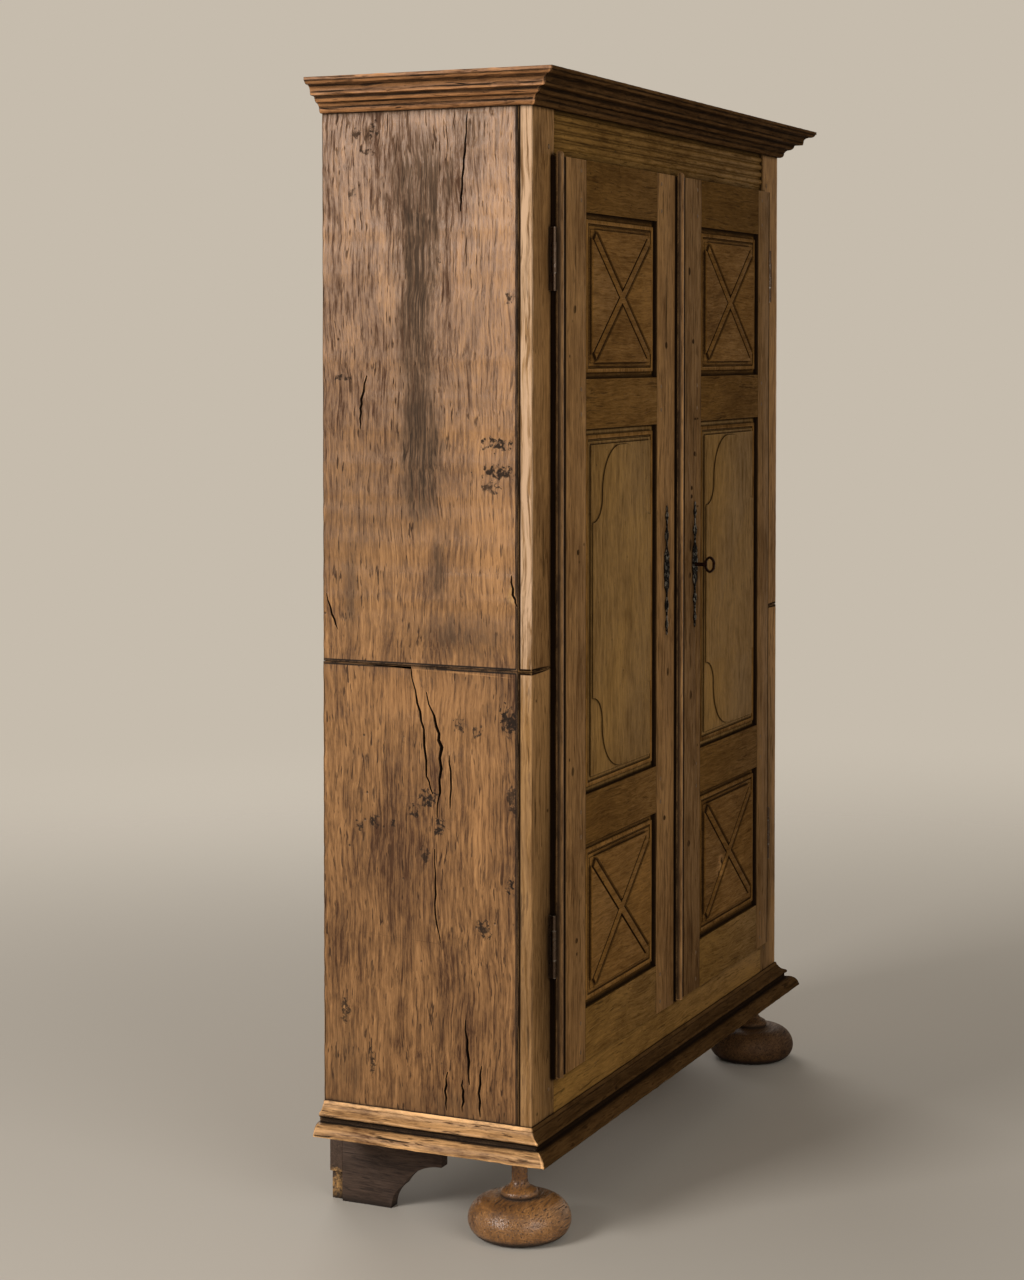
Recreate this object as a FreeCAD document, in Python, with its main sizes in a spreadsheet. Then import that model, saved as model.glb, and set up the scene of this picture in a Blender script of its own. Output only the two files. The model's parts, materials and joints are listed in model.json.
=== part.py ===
"""Antique oak linen press: a two-door cupboard made in two halves, with a mitred cornice and base
moulding, frame-and-panel doors with carved panels, turned bun feet in front and bracket feet behind."""
import FreeCAD, Part
import Sketcher
import math
import operator
import os
from types import SimpleNamespace

# Driving sizes in millimetres. Heights of the case count from its underside, on top of the feet.
SIZES = {
    # Case
    "case_width": 1254.0,
    "case_depth": 387.0,
    "case_height": 1784.0,
    "seam_height": 804.0,
    "board_thickness": 25.0,
    "stile_width": 92.0,
    "stile_thickness": 25.0,
    "sill_height": 127.0,
    "frieze_height": 89.0,
    "frieze_recess": 6.0,
    "reed_pitch": 15.0,
    "reed_gap": 3.0,
    "reed_margin": 4.0,
    "tenon_length": 40.0,
    "tenon_thickness": 8.0,
    "tenon_shoulder": 12.0,
    "joint_clearance": 0.2,
    "cut_overrun": 5.0,
    # Boards inside the case
    "top_thickness": 18.0,
    "top_recess": 4.0,
    "board_gap": 1.5,
    "back_thickness": 15.0,
    "back_rebate": 12.0,
    "bottom_thickness": 20.0,
    "bottom_drop": 7.0,
    "shelf_thickness": 22.0,
    "shelf_setback": 60.0,
    "shelf_clearance": 1.0,
    "cleat_size": 25.0,
    "dowel_radius": 6.0,
    "dowel_length": 50.0,
    # Mouldings
    "cornice_height": 57.0,
    "cornice_overhang": 64.0,
    "base_height": 54.0,
    "base_overhang": 41.0,
    # Feet
    "foot_height": 141.0,
    "foot_radius": 86.5,
    "spigot_radius": 10.0,
    "spigot_length": 60.0,
    "spigot_wall_side": 2.0,
    "spigot_wall_front": 3.0,
    "foot_block_size": 80.0,
    "bracket_inset": 65.0,
    "bracket_thickness": 24.0,
    "bracket_length": 191.0,
    "bracket_foot_length": 95.0,
    "bracket_tip_height": 59.0,
    "bracket_chip_height": 50.0,
    "bracket_chip_depth": 9.0,
    # Doors
    "door_proud": 10.0,
    "door_inset": 1.0,
    "lip_overlap": 14.0,
    "door_clearance": 3.0,
    "seat_gap": 0.5,
    "meeting_gap": 11.0,
    "meeting_offset": 11.5,
    "bead_stile_width": 128.0,
    "left_meeting_stile_width": 94.0,
    "right_hinge_stile_width": 71.0,
    "top_rail_height": 88.0,
    "mid_rail_height": 85.0,
    "bottom_rail_height": 90.0,
    "cross_panel_height": 283.0,
    "groove_depth": 10.0,
    "panel_play": 1.0,
    "panel_recess": 9.0,
    "bead_width": 18.0,
    "bead_rise": 7.0,
    "bead_lift": 3.0,
    # Raised panels
    "border_margin": 10.0,
    "border_bevel": 7.0,
    "border_height": 2.5,
    "step_margin": 22.0,
    "step_height": 1.5,
    "field_margin": 28.0,
    "field_height": 6.0,
    "field_round": 2.5,
    "channel_width": 26.0,
    "channel_depth": 5.0,
    "rib_width": 14.0,
    "rib_drop": 1.4,
    "tablet_height": 2.5,
    "tablet_margin": 3.0,
    "tablet_hollow": 44.0,
    "tablet_crown": 11.5,
    "tablet_nib": 7.0,
    # Hinges
    "hinge_height": 105.0,
    "hinge_side_gap": 0.5,
    "hinge_stand": 8.0,
    "upper_hinge_drop": 171.0,
    "lower_hinge_rise": 225.0,
    "knuckle_radius": 4.5,
    "end_knuckle_radius": 3.7,
    "pin_radius": 2.2,
    "pin_clearance": 0.08,
    "knuckle_gap": 0.3,
    "plate_thickness": 2.4,
    "plate_reach": 18.0,
    "leaf_thickness": 2.0,
    "leaf_reach": 24.0,
    "leaf_offset": 3.0,
    "slot_clearance": 0.2,
    # Lock, key and bolts
    "lock_rise": 42.5,
    "key_inset": 94.0,
    "escutcheon_height": 238.0,
    "escutcheon_width": 25.0,
    "escutcheon_thickness": 2.0,
    "left_escutcheon_inset": 44.0,
    "piercing_width": 4.5,
    "piercing_height": 11.0,
    "key_radius": 3.5,
    "keyhole_clearance": 0.6,
    "bit_length": 12.5,
    "bit_thickness": 2.6,
    "bit_depth": 8.0,
    "bit_gap": 1.0,
    "key_stand": 23.0,
    "bow_height": 32.0,
    "bow_length": 20.0,
    "bow_wire": 2.2,
    "collar_radius": 5.0,
    "collar_length": 3.0,
    "lock_tail": 28.0,
    "lock_case_height": 82.0,
    "lock_depth": 18.0,
    "lock_wall": 2.0,
    "lock_side_margin": 4.0,
    "lock_drop": 30.0,
    "lock_bolt_height": 20.0,
    "lock_bolt_depth": 10.0,
    "lock_bolt_length": 84.0,
    "bolt_clearance": 0.5,
    "keeper_length": 28.0,
    "keeper_wall": 3.0,
    "keeper_inset": 2.0,
    "slide_width": 16.0,
    "slide_depth": 6.0,
    "slide_length": 190.0,
    "slide_inset": 47.0,
    "slide_stand": 2.5,
    "slide_knob_radius": 5.0,
    "slide_knob_length": 9.0,
    "guide_wall": 2.0,
    "guide_height": 14.0,
    "guide_spread": 110.0,
    "guide_ear": 9.0,
}

# Outlines as shares, each point with the bend of the edge that follows it: 0 is straight, otherwise the
# arc's radius over its chord, positive where it swells and negative where it is hollow.
CORNICE_SHARES = (
    (0.00, 0.00, 0),
    (0.07, 0.00, 0.72),
    (0.17, 0.17, 0),
    (0.19, 0.19, -0.90),
    (0.29, 0.28, 0.90),
    (0.43, 0.42, 0),
    (0.44, 0.46, 0),
    (0.65, 0.48, 0),
    (0.67, 0.60, -0.75),
    (0.78, 0.75, 0),
    (0.80, 0.77, 0.72),
    (0.97, 0.87, 0),
    (1.00, 0.88, 0),
    (1.00, 1.00, 0),
    (0.00, 1.00, 0),
)
BASE_SHARES = (
    (0.00, 0.00, 0),
    (1.00, 0.00, 0),
    (1.00, 0.10, 0),
    (0.97, 0.12, 0.74),
    (0.44, 0.41, 0),
    (0.40, 0.42, 0),
    (0.40, 0.51, 0),
    (0.46, 0.53, 0.56),
    (0.44, 0.68, 0),
    (0.40, 0.69, -1.10),
    (0.14, 0.88, 0),
    (0.11, 0.88, 0),
    (0.06, 1.00, 0),
    (0.00, 1.00, 0),
)
# Turned foot, radius as a share of the bun's and height as a share of the foot's.
FOOT_SHARES = (
    (0.00, 0.00, 0),
    (0.66, 0.00, 0.71),
    (1.00, 0.205, 0.71),
    (0.58, 0.46, 0),
    (0.36, 0.465, 0),
    (0.345, 0.47, 0.60),
    (0.30, 0.56, 0),
    (0.28, 0.57, -0.80),
    (0.155, 0.70, 0),
    (0.155, 1.00, 0),
)
# Bracket foot: the hollow between floor and tip, as shares of its run and its rise.
BRACKET_HOLLOW_SHARES = (0.24, 0.52)
BRACKET_BEND_SHARES = (-1.05, -0.95)
# Escutcheon: half-width and height from the middle, as shares, for the upper right quarter.
ESCUTCHEON_SHARES = (
    (0.86, 0.00, 0.90),
    (0.66, 0.15, 0.70),
    (0.44, 0.30, -1.20),
    (0.26, 0.46, 0.62),
    (0.26, 0.62, -2.00),
    (0.22, 0.78, 0.60),
    (0.16, 0.90, 0.90),
)
PIERCING_SHARES = (0.24, 0.54)
SHELF_SHARES = (0.25, 0.49, 0.74)
DOWEL_SHARES = (0.25, 0.75)
# End knuckles of a hinge as shares of its height: the door's knuckle lies between them.
KNUCKLE_SHARES = (0.28, 0.76)
# Bend of an arc that is all but a half circle.
HALF_ROUND_SHARE = 0.5001
BACK_BOARD_COUNT = 6
TOP_BOARD_COUNT = 3

doc = FreeCAD.newDocument("LinenPress")
size_sheet = doc.addObject("Spreadsheet::Sheet", "Sizes")
place_sheet = doc.addObject("Spreadsheet::Sheet", "Places")
nodes = []

OPERATIONS = {"+": operator.add, "-": operator.sub, "*": operator.mul, "/": operator.truediv}


class Measure:
    """A size or place: its present value and the sheet formula that drives it."""

    def __init__(self, value, text):
        self.value = value
        self.text = text

    def __add__(self, other):
        return worked_out(self, "+", other)

    def __radd__(self, other):
        return worked_out(other, "+", self)

    def __sub__(self, other):
        return worked_out(self, "-", other)

    def __rsub__(self, other):
        return worked_out(other, "-", self)

    def __mul__(self, other):
        return worked_out(self, "*", other)

    def __rmul__(self, other):
        return worked_out(other, "*", self)

    def __truediv__(self, other):
        return worked_out(self, "/", other)

    def __neg__(self):
        return worked_out(-1, "*", self)


def measure(value):
    """Return a number as a measure, and a measure as it is."""
    if isinstance(value, Measure):
        return value
    return Measure(value, f"({value})")


def worked_out(left, sign, right):
    """Combine two measures by one sum, in value and in formula."""
    left = measure(left)
    right = measure(right)
    value = OPERATIONS[sign](left.value, right.value)
    return Measure(value, f"({left.text} {sign} {right.text})")


def slope_angle(rise, run):
    """Return the angle of a slope in degrees."""
    value = math.degrees(math.atan2(rise.value, run.value))
    return Measure(value, f"atan2({rise.text}; {run.text})")


def distance(across, up):
    """Return the straight distance between two places."""
    value = math.hypot(across.value, up.value)
    return Measure(value, f"hypot({across.text}; {up.text})")


def fill_size_sheet():
    """Write the driving sizes to their sheet and return them by name."""
    sizes = {}
    for row, (name, value) in enumerate(SIZES.items(), start=1):
        size_sheet.set(f"A{row}", name)
        size_sheet.set(f"B{row}", str(value))
        size_sheet.setAlias(f"B{row}", name)
        sizes[name] = Measure(value, f"Sizes.{name}")
    return SimpleNamespace(**sizes)


def place(name, formula):
    """Keep a worked-out place in its sheet under its own name."""
    row = len(place_sheet.getUsedCells()) + 1
    place_sheet.set(f"B{row}", "=" + formula.text.replace("Places.", ""))
    place_sheet.setAlias(f"B{row}", name)
    return Measure(formula.value, f"Places.{name}")


def bind(target, path, formula):
    """Drive one property of an object by a formula of the sheets."""
    target.setExpression(path, measure(formula).text)


def box(name, x, y, z):
    """Add a squared piece between two places along each axis."""
    timber = doc.addObject("Part::Box", name)
    for side, axis, ends in zip(("Length", "Width", "Height"), "xyz", (x, y, z)):
        low, high = sorted((measure(end) for end in ends), key=lambda end: end.value)
        bind(timber, side, high - low)
        bind(timber, f"Placement.Base.{axis}", low)
    return timber


def cylinder(name, x, y, z, radius, along="Z"):
    """Add a round piece. The place along its own axis is a pair of ends, the other two are its centre."""
    rod = doc.addObject("Part::Cylinder", name)
    centre = {"x": x, "y": y, "z": z}
    ends = centre[along.lower()]
    low, high = sorted((measure(end) for end in ends), key=lambda end: end.value)
    centre[along.lower()] = low
    if along == "Y":
        rod.Placement.Rotation = FreeCAD.Rotation(FreeCAD.Vector(1, 0, 0), -90)
    for axis in "xyz":
        bind(rod, f"Placement.Base.{axis}", centre[axis])
    bind(rod, "Radius", radius)
    bind(rod, "Height", high - low)
    return rod


def cut(base, *tools):
    """Cut tools out of a piece, one after the other."""
    for tool in tools:
        remainder = doc.addObject("Part::Cut", f"{base.Name}_cut")
        remainder.Base = base
        remainder.Tool = tool
        base = remainder
    return base


def fuse(name, *pieces):
    """Join pieces that are made of one stick or forged in one."""
    whole = doc.addObject("Part::MultiFuse", name)
    whole.Shapes = list(pieces)
    whole.Refine = True
    return whole


def group(name, pieces):
    """Keep like pieces together as separate solids."""
    bundle = doc.addObject("Part::Compound", name)
    bundle.Links = list(pieces)
    return bundle


def node(label, piece):
    """Name a finished sub-part."""
    piece.Label = label
    nodes.append(piece)
    return piece


def new_body(name):
    """Add an empty body."""
    return doc.addObject("PartDesign::Body", name)


def sketch_on(body, plane, offset=None):
    """Add a sketch on one of the body's own planes, moved along its normal by an offset."""
    sketch = body.newObject("Sketcher::SketchObject", f"{body.Name}_sketch")
    plane_feature = next(item for item in body.Origin.OriginFeatures if item.Role == plane)
    sketch.AttachmentSupport = [(plane_feature, "")]
    sketch.MapMode = "FlatFace"
    if offset is not None:
        bind(sketch, "AttachmentOffset.Base.z", offset)
    return sketch


def arc_between(start, end, bend):
    """Return the arc from start to end whose radius is bend times the chord."""
    chord = end - start
    radius = abs(bend) * chord.Length
    left = FreeCAD.Vector(-chord.y, chord.x, 0).normalize()
    reach = math.sqrt(radius ** 2 - (chord.Length / 2) ** 2)
    centre = (start + end) / 2 + left * math.copysign(reach, bend)
    first, last = (start, end) if bend > 0 else (end, start)
    angles = [math.atan2(point.y - centre.y, point.x - centre.x) for point in (first, last)]
    return Part.ArcOfCircle(Part.Circle(centre, FreeCAD.Vector(0, 0, 1), radius), *angles)


def fix_point(geometry, end, x, y):
    """Return the rules that hold a sketch point at its place, with their formulas."""
    rules = []
    for value, kind, axis in ((x, "DistanceX", -2), (y, "DistanceY", -1)):
        if value.text == "(0)":
            rules.append((Sketcher.Constraint("PointOnObject", geometry, end, axis), None))
        else:
            rules.append((Sketcher.Constraint(kind, geometry, end, value.value), value))
    return rules


def apply_rules(sketch, rules):
    """Add rules to a sketch and drive each by its formula."""
    first = sketch.ConstraintCount
    sketch.addConstraint([rule for rule, _ in rules])
    for index, (_, formula) in enumerate(rules, start=first):
        if formula is not None:
            bind(sketch, f"Constraints[{index}]", formula)


def outline(sketch, points):
    """Draw a closed outline of points (x, y) or (x, y, bend); a positive bend turns left."""
    corners = [(measure(point[0]), measure(point[1]), *point[2:]) for point in points]
    first = sketch.GeometryCount
    edges = []
    ends = []
    rules = []
    for index, (x, y, *bend) in enumerate(corners):
        next_x, next_y, *_ = corners[(index + 1) % len(corners)]
        start = FreeCAD.Vector(x.value, y.value, 0)
        end = FreeCAD.Vector(next_x.value, next_y.value, 0)
        turn = bend[0] if bend else 0
        edges.append(arc_between(start, end, turn) if turn else Part.LineSegment(start, end))
        ends.append((2, 1) if turn < 0 else (1, 2))
        if turn:
            chord = distance(next_x - x, next_y - y)
            radius = abs(turn) * chord
            rules.append((Sketcher.Constraint("Radius", first + index, radius.value), radius))
    sketch.addGeometry(edges, False)
    for index, (x, y, *_) in enumerate(corners):
        following = (index + 1) % len(corners)
        meeting = (first + index, ends[index][1], first + following, ends[following][0])
        rules.append((Sketcher.Constraint("Coincident", *meeting), None))
        rules.extend(fix_point(first + index, ends[index][0], x, y))
    apply_rules(sketch, rules)


def rectangle(sketch, half_width, half_height):
    """Draw a rectangle about the sketch's origin."""
    corners = ((-1, -1), (1, -1), (1, 1), (-1, 1))
    outline(sketch, [(half_width * across, half_height * up) for across, up in corners])


def pad(body, sketch, length, symmetric=False):
    """Raise a sketch into a solid."""
    feature = body.newObject("PartDesign::Pad", f"{body.Name}_pad")
    feature.Profile = sketch
    if symmetric:
        feature.SideType = "Symmetric"
    bind(feature, "Length", length)
    return feature


def pocket(body, sketch, length, symmetric=False):
    """Sink a sketch into the solid."""
    feature = body.newObject("PartDesign::Pocket", f"{body.Name}_pocket")
    feature.Profile = sketch
    if symmetric:
        feature.SideType = "Symmetric"
    bind(feature, "Length", length)
    return feature


def revolve(body, sketch):
    """Turn a sketch about its upright axis."""
    feature = body.newObject("PartDesign::Revolution", f"{body.Name}_turning")
    feature.Profile = sketch
    feature.ReferenceAxis = (sketch, ["V_Axis"])
    feature.Angle = 360
    return feature


def front_edges(feature, level):
    """Name the outer edges of a feature that lie in the plane across Y at a level."""
    doc.recompute()
    names = []
    tolerance = S.joint_clearance.value / 2
    for number, edge in enumerate(feature.Shape.Edges, start=1):
        if all(abs(vertex.Y - level.value) < tolerance for vertex in edge.Vertexes):
            names.append(f"Edge{number}")
    return names


def put(piece, x=0, y=0, z=0):
    """Place a piece."""
    for axis, value in zip("xyz", (x, y, z)):
        bind(piece, f"Placement.Base.{axis}", value)
    return piece


S = fill_size_sheet()

# Main places: X = 0 on the middle of the case, Y = 0 half way between cornice and rear brackets.
half_width = place("half_width", S.case_width / 2)
front_y = place("front_y", (S.cornice_overhang - S.case_depth - S.bracket_thickness) / 2)
back_y = place("back_y", front_y + S.case_depth)
under_z = S.foot_height
seam_z = place("seam_z", S.foot_height + S.seam_height)
top_z = place("top_z", S.foot_height + S.case_height)
carcass_top_z = place("carcass_top_z", top_z - S.top_recess - S.top_thickness)
cornice_z = place("cornice_z", top_z - S.cornice_height)
sill_z = place("sill_z", S.foot_height + S.sill_height)
lintel_z = place("lintel_z", cornice_z - S.frieze_height)
stile_back_y = place("stile_back_y", front_y + S.stile_thickness)
back_board_y = place("back_board_y", back_y - S.back_thickness)
inner_x = place("inner_x", half_width - S.board_thickness)
opening_x = place("opening_x", half_width - S.stile_width)
bottom_top_z = place("bottom_top_z", sill_z - S.bottom_drop)
bottom_under_z = place("bottom_under_z", bottom_top_z - S.bottom_thickness)
inside_height = place("inside_height", carcass_top_z - bottom_top_z)
tenon_y = place("tenon_y", front_y + (S.stile_thickness + S.frieze_recess - S.tenon_thickness) / 2)

# Door places: the doors lip over the opening on three sides and meet with a gap.
door_front_y = place("door_front_y", front_y - S.door_proud)
door_back_y = place("door_back_y", stile_back_y - S.door_inset)
door_edge_x = place("door_edge_x", opening_x + S.lip_overlap)
door_bottom_z = place("door_bottom_z", sill_z - S.lip_overlap)
door_top_z = place("door_top_z", lintel_z + S.lip_overlap)
rebate_width = place("rebate_width", S.lip_overlap + S.door_clearance)
left_meeting_x = place("left_meeting_x", S.meeting_offset - S.meeting_gap / 2)
right_meeting_x = place("right_meeting_x", S.meeting_offset + S.meeting_gap / 2)
tongue_y = place("tongue_y", door_front_y + S.panel_recess)
tongue_back_y = place("tongue_back_y", tongue_y + S.tenon_thickness)
hinge_x = place("hinge_x", door_edge_x + S.knuckle_radius + S.hinge_side_gap)
hinge_y = place("hinge_y", front_y - S.hinge_stand)
middle_low_z = door_bottom_z + S.bottom_rail_height + S.cross_panel_height + S.mid_rail_height
middle_high_z = door_top_z - S.top_rail_height - S.cross_panel_height - S.mid_rail_height
lock_z = place("lock_z", (middle_low_z + middle_high_z) / 2 + S.lock_rise)
key_x = place("key_x", right_meeting_x + S.key_inset)
hinge_bottoms = (
    place("lower_hinge_z", door_bottom_z + S.lower_hinge_rise - S.hinge_height / 2),
    place("upper_hinge_z", door_top_z - S.upper_hinge_drop - S.hinge_height / 2),
)
SIDES = (("left", -1), ("right", 1))


def dowel_places(side):
    """Return the places of the dowels in one side of the seam: two in the side board, one in the stile."""
    board_middle = side * (half_width - S.board_thickness / 2)
    board_depth = back_board_y - stile_back_y
    places = [(board_middle, stile_back_y + board_depth * share) for share in DOWEL_SHARES]
    stile_middle = side * (half_width - S.stile_width / 2)
    return places + [(stile_middle, front_y + S.stile_thickness / 2)]


def dowel_hole(name, x, y):
    """Return the bore for one seam dowel, through both halves."""
    reach = S.dowel_length / 2 + S.joint_clearance
    ends = (seam_z - reach, seam_z + reach)
    return cylinder(name, x, y, ends, S.dowel_radius + S.joint_clearance)


def hinge_slot(name, side, bottom):
    """Return the slot that a hinge plate is driven into in a case stile."""
    half_slot = S.plate_thickness / 2 + S.slot_clearance
    axis_x = side * hinge_x
    return box(
        name,
        (axis_x - half_slot, axis_x + half_slot),
        (front_y - S.cut_overrun, front_y + S.plate_reach + S.slot_clearance),
        (bottom - S.slot_clearance, bottom + S.hinge_height + S.slot_clearance),
    )


def case_mortise(name, side, low, high):
    """Return a mortise in a case stile for a rail's tenon between two heights."""
    return box(
        name,
        (side * (opening_x - S.cut_overrun), side * (opening_x + S.tenon_length + S.joint_clearance)),
        (tenon_y - S.joint_clearance, tenon_y + S.tenon_thickness + S.joint_clearance),
        (low - S.joint_clearance, high + S.joint_clearance),
    )


frieze_tenon = (lintel_z + S.tenon_shoulder, carcass_top_z - S.tenon_shoulder)
bottom_tenon = (under_z + S.tenon_shoulder, sill_z - S.tenon_shoulder)


def make_case_sides():
    """Side boards and front stiles, each in two halves that meet at the seam on dowels."""
    dowels = []
    halves = (
        ("lower", under_z, seam_z, bottom_tenon, hinge_bottoms[0]),
        ("upper", seam_z, carcass_top_z, frieze_tenon, hinge_bottoms[1]),
    )
    for side_name, side in SIDES:
        places = dowel_places(side)
        for x, y in places:
            ends = (seam_z - S.dowel_length / 2, seam_z + S.dowel_length / 2)
            dowels.append(cylinder("dowel", x, y, ends, S.dowel_radius))
        for half_name, low, high, tenon, hinge_bottom in halves:
            board = box(
                "side_board",
                (side * half_width, side * inner_x),
                (stile_back_y, back_y),
                (low, high),
            )
            rebate = box(
                "back_rebate",
                (side * (inner_x - S.cut_overrun), side * (inner_x + S.back_rebate)),
                (back_board_y, back_y + S.cut_overrun),
                (low - S.cut_overrun, high + S.cut_overrun),
            )
            bores = [dowel_hole("board_bore", x, y) for x, y in places[:-1]]
            node(f"side_board_{half_name}_{side_name}", cut(board, rebate, *bores))
            stile = box(
                "front_stile",
                (side * half_width, side * opening_x),
                (front_y, stile_back_y),
                (low, high),
            )
            mortise = case_mortise("mortise", side, *tenon)
            slot = hinge_slot("hinge_slot", side, hinge_bottom)
            bore = dowel_hole("stile_bore", *places[-1])
            node(f"front_stile_{half_name}_{side_name}", cut(stile, mortise, slot, bore))
    node("seam_dowels", group("dowels", dowels))


def tenon_pair(low, high):
    """Return the two tenons of a case rail."""
    depth = (tenon_y, tenon_y + S.tenon_thickness)
    tenons = []
    for _, side in SIDES:
        length = (side * opening_x, side * (opening_x + S.tenon_length))
        tenons.append(box("tenon", length, depth, (low, high)))
    return tenons


def make_frieze_rail():
    """Frieze rail with reeds run along its recessed face."""
    face_y = front_y + S.frieze_recess
    body = new_body("frieze")
    sketch = sketch_on(body, "YZ_Plane")
    points = [
        (face_y, lintel_z),
        (stile_back_y, lintel_z),
        (stile_back_y, carcass_top_z),
        (face_y, carcass_top_z),
    ]
    reed_count = 4
    reed_swell_share = 0.58
    for number in range(reed_count):
        reed_top = cornice_z - S.reed_margin - S.reed_pitch * number
        points.append((face_y, reed_top, reed_swell_share))
        points.append((face_y, reed_top - S.reed_pitch + S.reed_gap))
    outline(sketch, points)
    pad(body, sketch, opening_x * 2, symmetric=True)
    node("frieze_rail", fuse("frieze_with_tenons", body, *tenon_pair(*frieze_tenon)))


def make_bottom_rail():
    """Rail under the doors, its lower part behind the base moulding."""
    rail = box("rail", (-opening_x, opening_x), (front_y, stile_back_y), (under_z, sill_z))
    node("bottom_rail", fuse("rail_with_tenons", rail, *tenon_pair(*bottom_tenon)))


def run_profile(shares, overhang, height, face, base_z, outward):
    """Return a moulding's outline, standing out from a face by shares of its overhang and height."""
    points = []
    for out_share, up_share, bend in shares:
        across = face + outward * (overhang * out_share)
        points.append((across, base_z + height * up_share, bend * outward))
    return points


def mitre_corner(side, overhang, front_piece):
    """Return the waste beyond the mitre of a moulding at one front corner."""
    over = S.cut_overrun
    outer = side * (half_width + overhang + over)
    inner = side * (half_width - over)
    near = front_y - overhang - over
    far = front_y + over
    square = (outer, far) if front_piece else (inner, near)
    return [(outer, near), (inner, far), square]


def make_moulding(name, shares, overhang, height, base_z):
    """Run a moulding round the front and both sides, mitred at the front corners."""
    front = new_body(f"{name}_front_run")
    sketch = sketch_on(front, "YZ_Plane")
    outline(sketch, run_profile(shares, overhang, height, front_y, base_z, -1))
    pad(front, sketch, (half_width + overhang) * 2, symmetric=True)
    waste = sketch_on(front, "XY_Plane", base_z)
    for _, side in SIDES:
        outline(waste, mitre_corner(side, overhang, True))
    pocket(front, waste, height * 3, symmetric=True)
    node(f"{name}_front", front)
    for side_name, side in SIDES:
        run = new_body(f"{name}_{side_name}_run")
        sketch = sketch_on(run, "XZ_Plane", -back_y)
        outline(sketch, run_profile(shares, overhang, height, side * half_width, base_z, side))
        pad(run, sketch, S.case_depth + overhang)
        waste = sketch_on(run, "XY_Plane", base_z)
        outline(waste, mitre_corner(side, overhang, False))
        pocket(run, waste, height * 3, symmetric=True)
        node(f"{name}_{side_name}", run)


def boards_between(name, count, low, high, make):
    """Lay boards side by side between two places with a gap between neighbours."""
    pitch = (high - low + S.board_gap) / count
    boards = []
    for number in range(count):
        start = low + pitch * number
        boards.append(make(name, (start, start + pitch - S.board_gap)))
    return boards


def make_inner_boards():
    """Top, bottom and back boards, shelves and the cleats under them."""
    whole_width = (-half_width, half_width)
    top_boards = boards_between(
        "top_board",
        TOP_BOARD_COUNT,
        front_y,
        back_y,
        lambda name, depth: box(name, whole_width, depth, (carcass_top_z, carcass_top_z + S.top_thickness)),
    )
    node("top_boards", group("top", top_boards))
    bottom = box(
        "bottom",
        (-inner_x, inner_x),
        (stile_back_y, back_board_y),
        (bottom_under_z, bottom_top_z),
    )
    node("bottom_board", bottom)
    back_edge = inner_x + S.back_rebate
    for half_name, low, high in (("lower", under_z, seam_z), ("upper", seam_z, carcass_top_z)):
        boards = boards_between(
            "back_board",
            BACK_BOARD_COUNT,
            -back_edge,
            back_edge,
            lambda name, width: box(name, width, (back_board_y, back_y), (low, high)),
        )
        node(f"back_boards_{half_name}", group(f"back_{half_name}", boards))
    cleats = []
    shelf_depth = (front_y + S.shelf_setback, back_board_y)
    for shelf_name, share in zip(("lower", "middle", "upper"), SHELF_SHARES):
        shelf_z = bottom_top_z + inside_height * share
        shelf_end = inner_x - S.shelf_clearance
        shelf = box("shelf", (-shelf_end, shelf_end), shelf_depth, (shelf_z, shelf_z + S.shelf_thickness))
        node(f"shelf_{shelf_name}", shelf)
        cleats.extend(cleat_pair(shelf_depth, shelf_z))
    node("shelf_cleats", group("cleats", cleats))


def cleat_pair(depth, height):
    """Return the two cleats that carry a shelf at a height."""
    pair = []
    for _, side in SIDES:
        width = (side * inner_x, side * (inner_x - S.cleat_size))
        pair.append(box("cleat", width, depth, (height - S.cleat_size, height)))
    return pair


def make_feet():
    """Turned bun feet in front, bracket feet behind, and the blocks that hold them."""
    foot_y = stile_back_y + S.spigot_radius + S.spigot_wall_front
    blocks = []
    for side_name, side in SIDES:
        foot_x = side * (inner_x - S.spigot_radius - S.spigot_wall_side)
        foot = new_body(f"foot_{side_name}")
        sketch = sketch_on(foot, "XZ_Plane")
        points = [(S.foot_radius * out, S.foot_height * up, bend) for out, up, bend in FOOT_SHARES[1:]]
        spigot_top = S.foot_height + S.spigot_length
        points.extend([(S.spigot_radius, S.foot_height), (S.spigot_radius, spigot_top), (0, spigot_top)])
        outline(sketch, [(0, 0), *points])
        revolve(foot, sketch)
        node(f"bun_foot_{side_name}", put(foot, foot_x, foot_y))
        width = (side * inner_x, side * (inner_x - S.foot_block_size))
        height = (under_z, bottom_under_z)
        block = box("front_block", width, (stile_back_y, stile_back_y + S.foot_block_size), height)
        bore_ends = (under_z - S.cut_overrun, under_z + S.spigot_length + S.joint_clearance)
        bore = cylinder("spigot_bore", foot_x, foot_y, bore_ends, S.spigot_radius + S.joint_clearance)
        blocks.append(cut(block, bore))
        blocks.append(box("rear_block", width, (back_board_y - S.foot_block_size, back_board_y), height))
    node("foot_blocks", group("blocks", blocks))
    node("rear_brackets", group("side_brackets", [side_bracket(*side) for side in SIDES]))
    node("rear_bracket_backs", group("back_brackets", [back_bracket(*side) for side in SIDES]))


def bracket_outline(end, inward):
    """Return a bracket foot's outline from its outer end, with a hollow between floor and tip."""
    rise = S.foot_height - S.bracket_tip_height
    run = S.bracket_length - S.bracket_foot_length
    run_share, rise_share = BRACKET_HOLLOW_SHARES
    first_bend, second_bend = BRACKET_BEND_SHARES
    foot_end = end + inward * S.bracket_foot_length
    kink = foot_end + inward * (run * run_share)
    tip = end + inward * S.bracket_length
    return [
        (end, 0),
        (foot_end, 0, first_bend * inward),
        (kink, rise * rise_share, second_bend * inward),
        (tip, rise),
        (tip, S.foot_height),
        (end, S.foot_height),
    ]


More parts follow.
